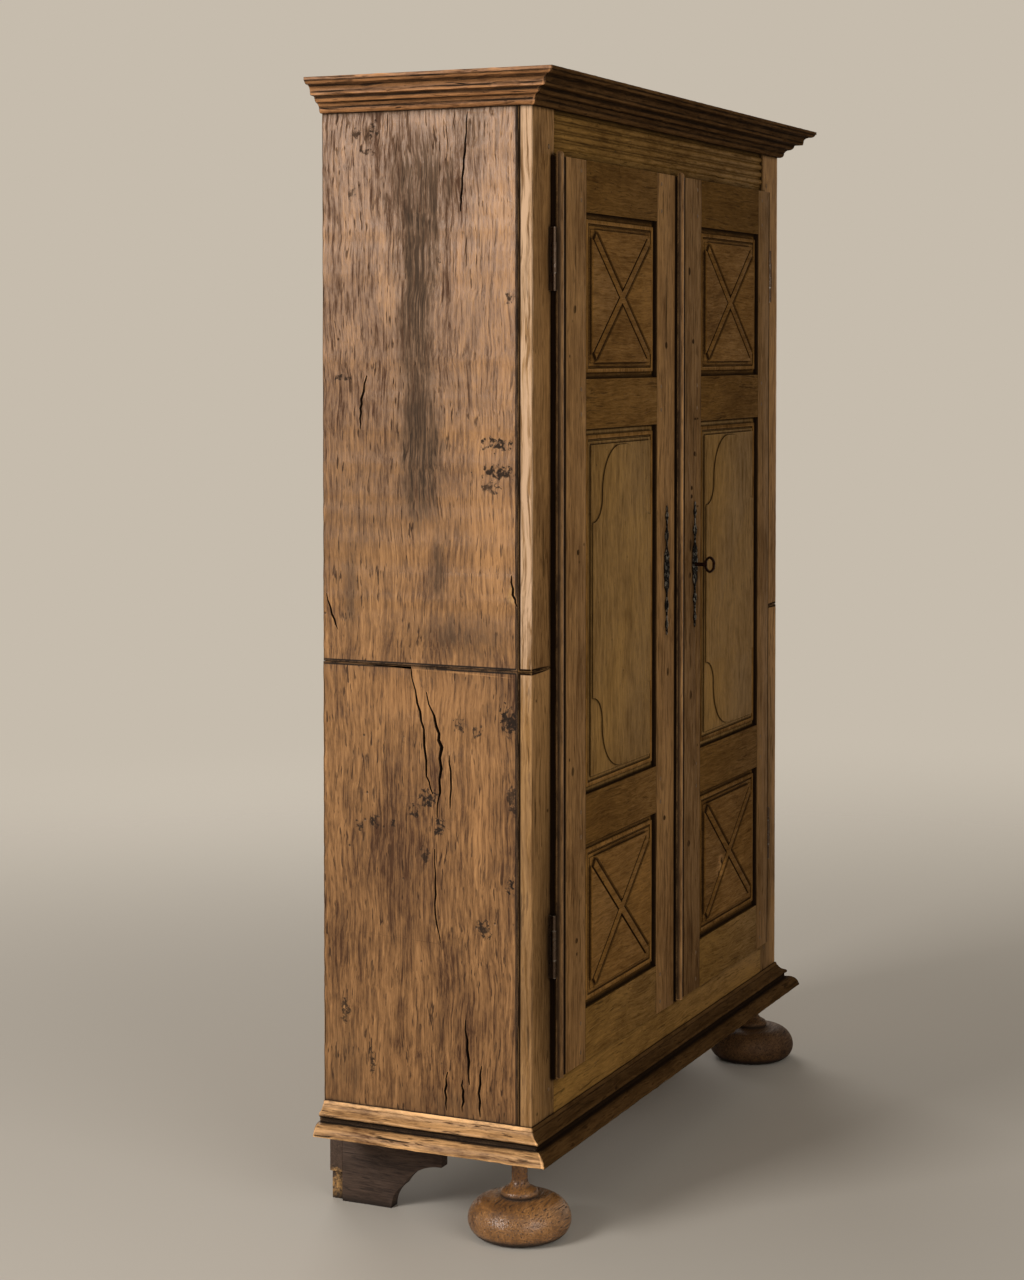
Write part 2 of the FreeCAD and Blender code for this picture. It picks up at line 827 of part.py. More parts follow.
def side_bracket(side_name, side):
    """Return a rear bracket foot's side board, set in under the case."""
    bracket = new_body(f"side_bracket_{side_name}")
    outer_x = side * (half_width - S.bracket_inset)
    low_x = outer_x if side < 0 else outer_x - S.bracket_thickness
    sketch = sketch_on(bracket, "YZ_Plane", low_x)
    outline(sketch, bracket_outline(back_y, -1))
    pad(bracket, sketch, S.bracket_thickness)
    return bracket


def back_bracket(side_name, side):
    """Return a rear bracket foot's back board, its lower outer corner chipped away."""
    bracket = new_body(f"back_bracket_{side_name}")
    outer_x = side * (half_width - S.bracket_inset)
    sketch = sketch_on(bracket, "XZ_Plane", -(back_y + S.bracket_thickness))
    outline(sketch, bracket_outline(outer_x, -side))
    pad(bracket, sketch, S.bracket_thickness)
    chip = box(
        "chip",
        (outer_x + side * S.cut_overrun, outer_x - side * S.bracket_chip_depth),
        (back_y - S.cut_overrun, back_y + S.bracket_thickness + S.cut_overrun),
        (-S.cut_overrun, S.bracket_chip_height),
    )
    return cut(bracket, chip)


def hinge_levels(bottom):
    """Return the heights that divide a hinge into its end knuckles and the door's knuckle."""
    low_share, high_share = KNUCKLE_SHARES
    return bottom + S.hinge_height * low_share, bottom + S.hinge_height * high_share


def case_hinge(side, bottom):
    """Return a hinge's fixed part: end knuckles on one pin, and the plate driven into the case stile."""
    axis_x = side * hinge_x
    top = bottom + S.hinge_height
    low, high = hinge_levels(bottom)
    half_plate = S.plate_thickness / 2
    width = (axis_x - half_plate, axis_x + half_plate)
    behind = hinge_y + S.knuckle_radius + S.knuckle_gap
    return fuse(
        "case_hinge",
        cylinder("pin", axis_x, hinge_y, (bottom, top), S.pin_radius),
        cylinder("foot_knuckle", axis_x, hinge_y, (bottom, low), S.end_knuckle_radius),
        cylinder("head_knuckle", axis_x, hinge_y, (high, top), S.end_knuckle_radius),
        box("foot_web", width, (hinge_y, behind), (bottom, low)),
        box("head_web", width, (hinge_y, behind), (high, top)),
        box("plate", width, (behind, front_y + S.plate_reach), (bottom, top)),
    )


def leaf_box(name, side, low, high, clearance):
    """Return the door leaf of a hinge, or its slot where a clearance is given."""
    leaf_y = hinge_y + S.leaf_offset
    return box(
        name,
        (side * (hinge_x - S.pin_radius), side * (door_edge_x - S.leaf_reach - clearance)),
        (leaf_y - S.leaf_thickness / 2 - clearance, leaf_y + S.leaf_thickness / 2 + clearance),
        (low - clearance, high + clearance),
    )


def door_hinge(side, bottom):
    """Return a hinge's moving part: the middle knuckle, bored for the pin, and its leaf."""
    low, high = hinge_levels(bottom)
    low = low + S.knuckle_gap
    high = high - S.knuckle_gap
    axis_x = side * hinge_x
    knuckle = cylinder("knuckle", axis_x, hinge_y, (low, high), S.knuckle_radius)
    whole = fuse("door_hinge", knuckle, leaf_box("leaf", side, low, high, measure(0)))
    ends = (low - S.cut_overrun, high + S.cut_overrun)
    return cut(whole, cylinder("pin_bore", axis_x, hinge_y, ends, S.pin_radius + S.pin_clearance))


def door_levels():
    """Return the heights of a door's rails and panels, from the bottom edge up."""
    bottom_rail = door_bottom_z + S.bottom_rail_height
    lower_mid = bottom_rail + S.cross_panel_height
    top_rail = door_top_z - S.top_rail_height
    upper_mid = top_rail - S.cross_panel_height - S.mid_rail_height
    return SimpleNamespace(
        rails={
            "bottom_rail": (door_bottom_z, bottom_rail),
            "lower_rail": (lower_mid, lower_mid + S.mid_rail_height),
            "upper_rail": (upper_mid, upper_mid + S.mid_rail_height),
            "top_rail": (top_rail, door_top_z),
        },
        panels={
            "lower_panel": (bottom_rail, lower_mid),
            "middle_panel": (lower_mid + S.mid_rail_height, upper_mid),
            "upper_panel": (upper_mid + S.mid_rail_height, top_rail),
        },
    )


def tenon_levels(rail_name, low, high):
    """Return the heights of a door rail's tenons, clear of the panel grooves and the lip."""
    outer_shoulder = rebate_width + S.tenon_shoulder
    low_shoulder = outer_shoulder if rail_name == "bottom_rail" else S.tenon_shoulder
    high_shoulder = outer_shoulder if rail_name == "top_rail" else S.tenon_shoulder
    return low + low_shoulder, high - high_shoulder


def end_rebates(x):
    """Return the rebates along a door's top and bottom edges over a stretch."""
    depth = (front_y - S.seat_gap, door_back_y + S.cut_overrun)
    return [
        box("top_rebate", x, depth, (door_top_z - rebate_width, door_top_z + S.cut_overrun)),
        box("bottom_rebate", x, depth, (door_bottom_z - S.cut_overrun, door_bottom_z + rebate_width)),
    ]


def door_stile(name, outer_x, inner_edge_x, hinge_side, levels, extra_cuts):
    """Make a door stile with panel groove, mortises and rebates; a hinge stile also lips over the case."""
    inward = 1 if inner_edge_x.value > outer_x.value else -1
    stile = box(f"{name}_stick", (outer_x, inner_edge_x), (door_front_y, door_back_y), (door_bottom_z, door_top_z))
    groove = (tongue_y - S.joint_clearance, tongue_back_y + S.joint_clearance)
    past_edge = inner_edge_x + inward * S.cut_overrun
    rails = levels.rails
    tools = [
        box(
            "groove",
            (past_edge, inner_edge_x - inward * S.groove_depth),
            groove,
            (rails["bottom_rail"][1] - S.groove_depth, rails["top_rail"][0] + S.groove_depth),
        )
    ]
    mortise_end = inner_edge_x - inward * (S.tenon_length + S.joint_clearance)
    for rail_name, ends in rails.items():
        low, high = tenon_levels(rail_name, *ends)
        height = (low - S.joint_clearance, high + S.joint_clearance)
        tools.append(box("mortise", (past_edge, mortise_end), groove, height))
    past_outer = outer_x - inward * S.cut_overrun
    tools.extend(end_rebates((past_outer, past_edge)))
    if hinge_side:
        lip = (past_outer, outer_x + inward * rebate_width)
        depth = (front_y - S.seat_gap, door_back_y + S.cut_overrun)
        height = (door_bottom_z - S.cut_overrun, door_top_z + S.cut_overrun)
        tools.append(box("hinge_rebate", lip, depth, height))
    return node(name, cut(stile, *tools, *extra_cuts))


def door_rail(name, rail_name, left_x, right_x, low, high):
    """Make a door rail with tenons, panel grooves and, on the outer rails, the lip's rebate."""
    tongue = (tongue_y, tongue_back_y)
    tenon_height = tenon_levels(rail_name, low, high)
    rail = fuse(
        f"{name}_stick",
        box("rail", (left_x, right_x), (door_front_y, door_back_y), (low, high)),
        box("left_tenon", (left_x - S.tenon_length, left_x), tongue, tenon_height),
        box("right_tenon", (right_x, right_x + S.tenon_length), tongue, tenon_height),
    )
    groove = (tongue_y - S.joint_clearance, tongue_back_y + S.joint_clearance)
    length = (left_x, right_x)
    tools = []
    if rail_name != "bottom_rail":
        tools.append(box("lower_groove", length, groove, (low - S.cut_overrun, low + S.groove_depth)))
    if rail_name != "top_rail":
        tools.append(box("upper_groove", length, groove, (high - S.groove_depth, high + S.cut_overrun)))
    if rail_name in ("top_rail", "bottom_rail"):
        top_rebate, bottom_rebate = end_rebates(length)
        tools.append(top_rebate if rail_name == "top_rail" else bottom_rebate)
    return cut(rail, *tools)


def panel_plane(body, depth):
    """Return a sketch across a panel, a depth behind the door's face."""
    return sketch_on(body, "XZ_Plane", -measure(depth))


def panel_blank(name, width, height, field_rise):
    """Make a panel: a tongue all round, a bevelled border, a step and the raised field."""
    body = new_body(name)
    reach = S.groove_depth - S.panel_play
    half_across = width / 2
    half_up = height / 2
    sketch = panel_plane(body, S.panel_recess + S.tenon_thickness)
    rectangle(sketch, half_across + reach, half_up + reach)
    pad(body, sketch, S.tenon_thickness)
    depth = S.panel_recess
    layers = (
        (S.border_margin, S.border_height),
        (S.step_margin, S.step_height),
        (S.field_margin, field_rise),
    )
    for margin, rise in layers:
        sketch = panel_plane(body, depth)
        rectangle(sketch, half_across - margin, half_up - margin)
        layer = pad(body, sketch, rise)
        depth = depth - rise
        if margin is S.border_margin:
            bevel = body.newObject("PartDesign::Chamfer", f"{name}_bevel")
            bevel.Base = (layer, front_edges(layer, depth))
            bevel.ChamferType = "Two distances"
            bind(bevel, "Size", S.border_height - S.joint_clearance)
            bind(bevel, "Size2", S.border_bevel)
    doc.recompute()
    return body, layer, depth


def cross_panel(name, width, height):
    """Make a panel whose field carries two crossing ribs from corner to corner, a groove along each side."""
    body, field, depth = panel_blank(name, width, height, S.field_height)
    rounding = body.newObject("PartDesign::Fillet", f"{name}_round")
    rounding.Base = (field, front_edges(field, depth))
    bind(rounding, "Radius", S.field_round)
    doc.recompute()
    across = width / 2 - S.field_margin - S.field_round
    up = height / 2 - S.field_margin - S.field_round
    rise = slope_angle(up, across)
    half_channel = S.channel_width / 2
    half_rib = S.rib_width / 2
    bottom = depth + S.channel_depth
    flank = (half_channel + half_rib) / 2
    trough = [
        (depth - S.cut_overrun, -half_channel),
        (depth, -half_channel),
        (bottom, -flank),
        (bottom, flank),
        (depth, half_channel),
        (depth - S.cut_overrun, half_channel),
    ]
    for way in (1, -1):
        pocket(body, slanted_outline(body, rise * way, trough), (width + height) * 2, symmetric=True)
    rib_swell_share = 1.6
    root = bottom + S.step_height
    rib = [
        (root, -half_rib),
        (root, half_rib),
        (depth + S.rib_drop, half_rib, rib_swell_share),
        (depth + S.rib_drop, -half_rib),
    ]
    rib_reach = distance(across, up) - half_rib * (across / up + up / across)
    for way in (1, -1):
        pad(body, slanted_outline(body, rise * way, rib), rib_reach * 2, symmetric=True)
    return body


def slanted_outline(body, rise, points):
    """Draw a cross-section square to a run that climbs across the panel at an angle."""
    sketch = sketch_on(body, "YZ_Plane")
    sketch.AttachmentOffset = FreeCAD.Placement(
        FreeCAD.Vector(), FreeCAD.Rotation(FreeCAD.Vector(1, 0, 0), rise.value)
    )
    bind(sketch, "AttachmentOffset.Rotation.Angle", rise)
    outline(sketch, points)
    return sketch


def arched_panel(name, width, height):
    """Make a panel whose field carries a tablet with an arched and hollowed outline, top and bottom."""
    body, field, depth = panel_blank(name, width, height, S.field_height - S.tablet_height)
    sketch = panel_plane(body, depth)
    half_across = width / 2 - S.field_margin - S.tablet_margin
    half_up = height / 2 - S.field_margin - S.tablet_margin
    quarter_share = 1 / math.sqrt(2)
    crown = S.tablet_crown
    nib_x = half_across - S.tablet_hollow
    arch_z = half_up - (nib_x - crown)
    shoulder = arch_z - S.tablet_nib - S.tablet_hollow
    upper_right = [
        (half_across, shoulder, -quarter_share),
        (nib_x, shoulder + S.tablet_hollow),
        (nib_x, arch_z, quarter_share),
        (crown, half_up),
    ]
    mirrored = [(nib_x, arch_z), (nib_x, shoulder + S.tablet_hollow, -quarter_share)]
    upper_left = [
        (-crown, half_up, quarter_share),
        *[(-point[0], *point[1:]) for point in mirrored],
        (-half_across, shoulder),
    ]
    upper = upper_right + upper_left
    outline(sketch, upper + [(-point[0], -point[1], *point[2:]) for point in upper])
    pad(body, sketch, S.tablet_height)
    return body


def half_round_bead(name, left_x):
    """Make the half-round bead planted along a door's edge, its ends rounded over."""
    body = new_body(name)
    sketch = sketch_on(body, "XY_Plane", door_bottom_z + S.bead_lift)
    outline(sketch, [(left_x, door_front_y, HALF_ROUND_SHARE), (left_x + S.bead_width, door_front_y)])
    length = door_top_z + S.bead_rise - door_bottom_z - S.bead_lift
    strip = pad(body, sketch, length)
    doc.recompute()
    top = max(vertex.Z for vertex in strip.Shape.Vertexes)
    rounded = []
    for number, edge in enumerate(strip.Shape.Edges, start=1):
        if len(edge.Vertexes) == 2 and edge.CenterOfMass.z > top - S.joint_clearance.value:
            if edge.Curve.TypeId == "Part::GeomCircle":
                rounded.append(f"Edge{number}")
    rounding = body.newObject("PartDesign::Fillet", f"{name}_end")
    rounding.Base = (strip, rounded)
    bind(rounding, "Radius", S.bead_width / 3)
    return node(name, body)


def keyhole_tools(y):
    """Return the round and the slot of the keyhole over a depth."""
    half_slot = S.bit_thickness / 2 + S.keyhole_clearance
    drop = S.bit_length + S.bit_gap
    return [
        cylinder("keyhole", key_x, y, lock_z, S.key_radius + S.keyhole_clearance, along="Y"),
        box("keyhole_slot", (key_x - half_slot, key_x + half_slot), y, (lock_z - drop, lock_z)),
    ]


def quartered(quarter, tip):
    """Return a closed outline from its upper right quarter and tip, alike on all four sides."""
    right = list(quarter)
    bends = [bend for _, _, bend in right]
    back = [(x, y, bend) for (x, y, _), bend in zip(reversed(right[1:]), reversed(bends[:-1]))]
    upper = right + [(measure(0), tip, bends[-1])] + [(-x, y, bend) for x, y, bend in back]
    return upper + [(-x, -y, bend) for x, y, bend in upper]


def escutcheon(name, centre_x, extra_cuts):
    """Make a tall pierced escutcheon with lobed edges."""
    body = new_body(f"{name}_plate")
    half_across = S.escutcheon_width / 2
    half_up = S.escutcheon_height / 2
    sketch = sketch_on(body, "XZ_Plane")
    quarter = [(half_across * out, half_up * up, bend) for out, up, bend in ESCUTCHEON_SHARES]
    outline(sketch, quartered(quarter, half_up))
    pad(body, sketch, S.escutcheon_thickness)
    holes = sketch_on(body, "XZ_Plane")
    half_hole = S.piercing_width / 2
    reach = S.piercing_height / 2 - half_hole
    for share in PIERCING_SHARES:
        for way in (1, -1):
            middle = half_up * share * way
            outline(
                holes,
                [
                    (half_hole, middle - reach),
                    (half_hole, middle + reach, HALF_ROUND_SHARE),
                    (-half_hole, middle + reach),
                    (-half_hole, middle - reach, HALF_ROUND_SHARE),
                ],
            )
    pocket(body, holes, S.escutcheon_thickness * 3, symmetric=True)
    put(body, centre_x, door_front_y, lock_z)
    return node(name, cut(body, *extra_cuts))


def make_doors():
    """Two frame-and-panel doors with their beads and hinges."""
    levels = door_levels()
    left_edge = -door_edge_x
    right_edge = door_edge_x
    key_depth = (door_front_y - S.cut_overrun, door_back_y + S.cut_overrun)
    doors = (
        SimpleNamespace(
            name="door_left",
            side=-1,
            left=left_edge,
            right=left_meeting_x,
            left_stile=("hinge_stile", S.bead_stile_width),
            right_stile=("meeting_stile", S.left_meeting_stile_width),
        ),
        SimpleNamespace(
            name="door_right",
            side=1,
            left=right_meeting_x,
            right=right_edge,
            left_stile=("lock_stile", S.bead_stile_width),
            right_stile=("hinge_stile", S.right_hinge_stile_width),
        ),
    )
    for door in doors:
        hinge_slots = []
        for bottom in hinge_bottoms:
            low, high = hinge_levels(bottom)
            hinge_slots.append(leaf_box("leaf_slot", door.side, low, high, S.slot_clearance))
        inner_left = door.left + door.left_stile[1]
        inner_right = door.right - door.right_stile[1]
        stiles = ((door.left_stile[0], door.left, inner_left), (door.right_stile[0], door.right, inner_right))
        for stile_name, outer, inner in stiles:
            extra = []
            if stile_name == "hinge_stile":
                extra = hinge_slots
            if stile_name == "lock_stile":
                extra = keyhole_tools(key_depth)
            door_stile(f"{door.name}_{stile_name}", outer, inner, stile_name == "hinge_stile", levels, extra)
        rails = {}
        for rail_name, ends in levels.rails.items():
            rails[rail_name] = door_rail(f"{door.name}_{rail_name}", rail_name, inner_left, inner_right, *ends)
        node(f"{door.name}_bottom_rail", rails["bottom_rail"])
        node(f"{door.name}_top_rail", rails["top_rail"])
        mid_rails = [rails["lower_rail"], rails["upper_rail"]]
        node(f"{door.name}_mid_rails", group(f"{door.name}_middle", mid_rails))
        width = inner_right - inner_left
        middle_x = (inner_left + inner_right) / 2
        for panel_name, (low, high) in levels.panels.items():
            make = arched_panel if panel_name == "middle_panel" else cross_panel
            panel = make(f"{door.name}_{panel_name}", width, high - low)
            node(panel.Name, put(panel, middle_x, door_front_y, (low + high) / 2))
        half_round_bead(f"{door.name}_bead", door.left)
        leaves = [door_hinge(door.side, bottom) for bottom in hinge_bottoms]
        node(f"{door.name}_hinge_leaves", group(f"{door.name}_leaves", leaves))
    pintles = [case_hinge(side, bottom) for _, side in SIDES for bottom in hinge_bottoms]
    node("hinge_pintles", group("pintles", pintles))


def make_lock():
    """Escutcheons, key, lock case, its bolt, and the keeper on the left door."""
    plate_depth = (door_front_y - S.cut_overrun, door_front_y + S.cut_overrun)
    escutcheon("door_right_escutcheon", key_x, keyhole_tools(plate_depth))
    escutcheon("door_left_escutcheon", left_meeting_x - S.left_escutcheon_inset, [])
    case_left = right_meeting_x + S.lock_side_margin
    case_right = key_x + S.lock_tail
    case_low = lock_z - S.lock_drop
    case_high = case_low + S.lock_case_height
    case_back = door_back_y + S.lock_depth
    bolt_low = lock_z + S.bit_length + S.bit_gap
    bolt_high = bolt_low + S.lock_bolt_height
    bolt_near = door_back_y + S.lock_wall + S.bolt_clearance
    bolt_far = bolt_near + S.lock_bolt_depth
    shell = box("lock_shell", (case_left, case_right), (door_back_y, case_back), (case_low, case_high))
    hollow = box(
        "lock_hollow",
        (case_left + S.lock_wall, case_right - S.lock_wall),
        (door_back_y - S.cut_overrun, case_back - S.lock_wall),
        (case_low + S.lock_wall, case_high - S.lock_wall),
    )
    mouth = box(
        "bolt_mouth",
        (case_left - S.cut_overrun, case_left + S.lock_wall + S.cut_overrun),
        (bolt_near - S.bolt_clearance, bolt_far + S.bolt_clearance),
        (bolt_low - S.bolt_clearance, bolt_high + S.bolt_clearance),
    )
    node("lock_case", cut(shell, hollow, mouth))
    bolt_tip = case_left - S.lock_wall / 2
    bolt = box("bolt", (bolt_tip, bolt_tip + S.lock_bolt_length), (bolt_near, bolt_far), (bolt_low, bolt_high))
    node("lock_bolt", bolt)
    make_keeper((bolt_near, bolt_far), (bolt_low, bolt_high))
    make_key(bolt_far)


def make_keeper(bolt_depth, bolt_height):
    """Make the strap on the left door that the lock bolt shoots into."""
    right = left_meeting_x - S.keeper_inset
    left = right - S.keeper_length
    low = bolt_height[0] - S.bolt_clearance
    high = bolt_height[1] + S.bolt_clearance
    back = bolt_depth[1] + S.bolt_clearance
    strap = box(
        "keeper_strap",
        (left, right),
        (door_back_y, back + S.keeper_wall),
        (low - S.keeper_wall, high + S.keeper_wall),
    )
    way = box(
        "keeper_way",
        (left - S.cut_overrun, right + S.cut_overrun),
        (door_back_y - S.cut_overrun, back),
        (low, high),
    )
    node("lock_keeper", cut(strap, way))


def make_key(tip_y):
    """Make the key: a shank with a bit inside the lock and an oval bow outside."""
    bow_y = door_front_y - S.key_stand
    shank = cylinder("shank", key_x, (bow_y, tip_y), lock_z, S.key_radius, along="Y")
    collar = cylinder("collar", key_x, (bow_y, bow_y + S.collar_length), lock_z, S.collar_radius, along="Y")
    half_bit = S.bit_thickness / 2
    bit = box(
        "bit",
        (key_x - half_bit, key_x + half_bit),
        (tip_y - S.bit_depth, tip_y),
        (lock_z - S.bit_length, lock_z),
    )
    ring = new_body("bow")
    sketch = sketch_on(ring, "YZ_Plane")
    half_up = S.bow_height / 2
    half_long = S.bow_length / 2
    swell_share = 0.74
    for inset in (measure(0), S.bow_wire * 2):
        outline(
            sketch,
            [
                (half_long - inset, 0, swell_share),
                (0, half_up - inset, swell_share),
                (inset - half_long, 0, swell_share),
                (0, inset - half_up, swell_share),
            ],
        )
    pad(ring, sketch, S.bow_wire * 2, symmetric=True)
    put(ring, key_x, bow_y - half_long + S.bow_wire, lock_z)
    node("key", fuse("whole_key", shank, collar, bit, ring))


def make_slide_bolt():
    """Make the upright bolt inside the left door and the two straps that guide it."""
    middle = left_meeting_x - S.slide_inset
    half_slide = S.slide_width / 2
    near = door_back_y + S.slide_stand
    far = near + S.slide_depth
    top = lintel_z - S.seat_gap * 4
    low = top - S.slide_length
    middle_z = (top + low) / 2
    knob = cylinder("knob", middle, (far, far + S.slide_knob_length), middle_z, S.slide_knob_radius, along="Y")
    bar = box("bar", (middle - half_slide, middle + half_slide), (near, far), (low, top))
    node("slide_bolt", fuse("bolt_with_knob", bar, knob))
    guides = []
    clearance = S.bolt_clearance
    for way in (1, -1):
        guide_z = middle_z + S.guide_spread / 2 * way
        height = (guide_z - S.guide_height / 2, guide_z + S.guide_height / 2)
        wall = half_slide + clearance + S.guide_wall
        outer = fuse(
            "guide_outer",
            box("guide", (middle - wall, middle + wall), (door_back_y, far + clearance + S.guide_wall), height),
            box(
                "guide_ears",
                (middle - wall - S.guide_ear, middle + wall + S.guide_ear),
                (door_back_y, door_back_y + S.guide_wall),
                height,
            ),
        )
        way_through = box(
            "guide_way",
            (middle - half_slide - clearance, middle + half_slide + clearance),
            (near - clearance, far + clearance),
            (height[0] - S.cut_overrun, height[1] + S.cut_overrun),
        )
        guides.append(cut(outer, way_through))
    node("slide_guides", group("guides", guides))


def write_parts():
    """Check every object and write each sub-part's solid to its own file."""
    doc.recompute()
    failed = [item.Name for item in doc.Objects if {"Invalid", "Error"} & set(item.State)]
    if failed:
        raise RuntimeError(f"objects that failed: {failed}")
    for piece in nodes:
        if piece.Shape.isNull() or not piece.Shape.isValid():
            raise RuntimeError(f"{piece.Label} has no valid shape")
    os.makedirs("parts", exist_ok=True)
    for piece in nodes:
        piece.Shape.exportStep(f"parts/{piece.Label}.step")


make_case_sides()
make_frieze_rail()
make_bottom_rail()
make_moulding("cornice", CORNICE_SHARES, S.cornice_overhang, S.cornice_height, cornice_z)
make_moulding("base_moulding", BASE_SHARES, S.base_overhang, S.base_height, under_z)
make_inner_boards()
make_feet()
make_doors()
make_lock()
make_slide_bolt()
write_parts()
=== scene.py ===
import json
import math
from collections import namedtuple
import bpy
from bpy.props import FloatProperty, FloatVectorProperty, PointerProperty
from mathutils import Matrix, Vector


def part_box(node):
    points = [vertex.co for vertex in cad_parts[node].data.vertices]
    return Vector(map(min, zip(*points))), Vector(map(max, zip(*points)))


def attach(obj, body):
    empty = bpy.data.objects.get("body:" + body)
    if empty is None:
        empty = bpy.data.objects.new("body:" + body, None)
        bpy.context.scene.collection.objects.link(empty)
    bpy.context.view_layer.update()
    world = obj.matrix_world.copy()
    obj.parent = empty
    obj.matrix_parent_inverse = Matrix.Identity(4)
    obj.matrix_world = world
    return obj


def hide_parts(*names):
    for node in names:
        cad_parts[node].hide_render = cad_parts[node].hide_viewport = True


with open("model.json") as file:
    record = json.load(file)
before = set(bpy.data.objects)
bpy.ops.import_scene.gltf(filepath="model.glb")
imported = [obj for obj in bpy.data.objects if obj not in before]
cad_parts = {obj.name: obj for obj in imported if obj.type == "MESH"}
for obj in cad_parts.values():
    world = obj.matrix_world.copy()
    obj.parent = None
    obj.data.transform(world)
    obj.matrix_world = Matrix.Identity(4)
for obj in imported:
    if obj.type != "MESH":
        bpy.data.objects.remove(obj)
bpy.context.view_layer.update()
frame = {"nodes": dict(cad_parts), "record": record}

bl_info = {
    "name": "Linen press finish",
    "version": (1, 0, 0),
    "blender": (4, 5, 0),
    "location": "View3D > Sidebar > Linen press",
    "description": "Worn oak, forged iron and small joinery for a two-door linen press",
    "category": "Object",
}

NODES = frame["nodes"]
SLOTS = {entry["node"]: entry["material_slot"] for entry in frame["record"]["subparts"]}
BODIES = {node: body for body, members in frame["record"]["behaviour"]["bodies"].items() for node in members}
MM = 0.001

# A stain, knot, chip or line of dirt on a piece. Its rim is torn by a share of its radii, apart from those of
# THROUGH or more. A mark that isn't torn is an unbroken patch, one that is torn follows the grain, and one
# torn as much as a PIT is eaten away on all sides.
Mark = namedtuple("Mark", "centre radii soften strength paint torn", defaults=(0.0,))
PIT = 4.0
THROUGH = 100 * MM
# DEEP reaches past the depth of any piece on the front and TALL past the height of the press, from a place
# at MIDDLE_Z. SKIN stays off the back of a door's frame.
DEEP = 400 * MM
TALL = 3.0
MIDDLE_Z = 1.0
SKIN = 20 * MM
# Half the width of a dark line: of dirt along a joint, and of painted shade on the flank of a bead.
DARK_LINE = 6 * MM
# The dull shine of the front, which is seen so flat that more of it would lay a pale veil over the oak.
DULL = 0.015
# The middle of a noise's colour.
HALF = (0.5, 0.5, 0.5)


def linear(hex_colour):
    """Turn an sRGB hex value into linear colour."""
    channels = [int(hex_colour[i:i + 2], 16) / 255 for i in (1, 3, 5)]
    return tuple(c / 12.92 if c <= 0.04045 else ((c + 0.055) / 1.055) ** 2.4 for c in channels)


def length(name, description, default_mm):
    """A length that a user would change, given in millimetres."""
    return FloatProperty(
        name=name, description=description, default=default_mm * MM, unit="LENGTH", precision=5
    )


def colour(name, description, hex_colour):
    """A colour that a user would change."""
    return FloatVectorProperty(
        name=name, description=description, default=linear(hex_colour), subtype="COLOR", size=3, min=0, max=1
    )


class LinenPressSizes(bpy.types.PropertyGroup):
    """Sizes of the finish that a user would change"""
    board_wear: length("Board wear", "Rounding worn onto the edges of the case's boards", 2.6)
    joint_wear: length("Joint wear", "Rounding worn onto the edges of the door frames and feet", 1.0)
    moulding_wear: length("Moulding wear", "Rounding worn onto mouldings and panels", 0.6)
    ragged_depth: length("Ragged depth", "How far old edges and mouldings are worn in unevenly", 2.0)
    ragged_pitch: length("Ragged pitch", "Length of the steps in which a ragged edge changes", 9.0)
    planted_margin: length("Bead margin", "Distance from the frame to the bead planted round a panel", 11.0)
    planted_width: length("Bead width", "Width of the bead planted round a panel", 7.0)
    planted_height: length("Bead height", "Height of the bead planted round a panel", 6.0)
    planted_back: length("Bead back", "Distance from a panel's back to the bead's back", 7.5)
    peg_width: length("Peg width", "Width of the pegs through the frame joints", 8.0)
    peg_stand: length("Peg stand", "How far a peg stands out of the wood", 0.6)
    crack_depth: length("Crack depth", "How deep the drying cracks go into the side boards", 9.0)


class LinenPressColours(bpy.types.PropertyGroup):
    """Colours of the finish that a user would change"""
    side_oak: colour("Side boards", "Waxed oak of the side boards", "#946a42")
    stile_oak: colour("Stiles", "Waxed oak of the stiles of case and doors", "#8f693f")
    rail_oak: colour("Rails", "Waxed oak of the rails", "#6a4a22")
    lower_rail_oak: colour("Lower rails", "Paler waxed oak of the frieze and the lowest rails", "#815e2e")
    cross_panel_oak: colour("Cross panels", "Waxed oak of the panels with crossing ribs", "#785428")
    arched_panel_oak: colour("Arched panels", "Waxed oak of the tall middle panels", "#876537")
    end_cornice_oak: colour("End cornices", "Dry, weathered oak of the cornices on the ends", "#976840")
    end_base_oak: colour("End base mouldings", "Dry, pale oak of the base mouldings on the ends", "#c39360")
    front_cornice_oak: colour("Front cornice", "Dark oak of the cornice along the front", "#4f361c")
    front_base_oak: colour("Front base moulding", "Dark oak of the base moulding along the front", "#463018")
    rubbed_oak: colour("Rubbed oak", "Pale oak on the ends of the case stiles", "#d6b08c")
    foot_oak: colour("Bun feet", "Waxed oak of the turned feet", "#90643a")
    bare_oak: colour("Bare oak", "Unwaxed boards inside and behind", "#7d6244")
    bracket_stain: colour("Brackets", "Dark stained oak of the rear brackets", "#49372b")
    stain: colour("Stain", "Old brown stains on the side boards", "#36271a")
    # Besides sooty dirt, this colour is laid as painted shade in corners and hollows, at the doors' edges, on
    # the beads' flanks and in the steps of the cornice.
    soot_and_shade: colour("Soot", "Soot and old wax in corners, cracks and stains", "#1d130b")
    raw_oak: colour("Raw oak", "Fresh broken wood", "#c8985c")
    forge_scale: colour("Forge scale", "Dark scale on the iron", "#131110")
    # Rubbed iron also paints glints along the iron's edges.
    rubbed_iron_and_glints: colour("Rubbed iron", "Bright rubbed edges of the iron", "#a8a298")
    rust: colour("Rust", "Brown rust on the key", "#3a2518")
    hinge_rust: colour("Hinge rust", "Pale brown rust on the hinges", "#4c3d31")
    floor: colour("Floor", "Plain studio floor", "#c6bdb0")
    surround: colour("Surround", "Plain studio backdrop", "#c6bcad")


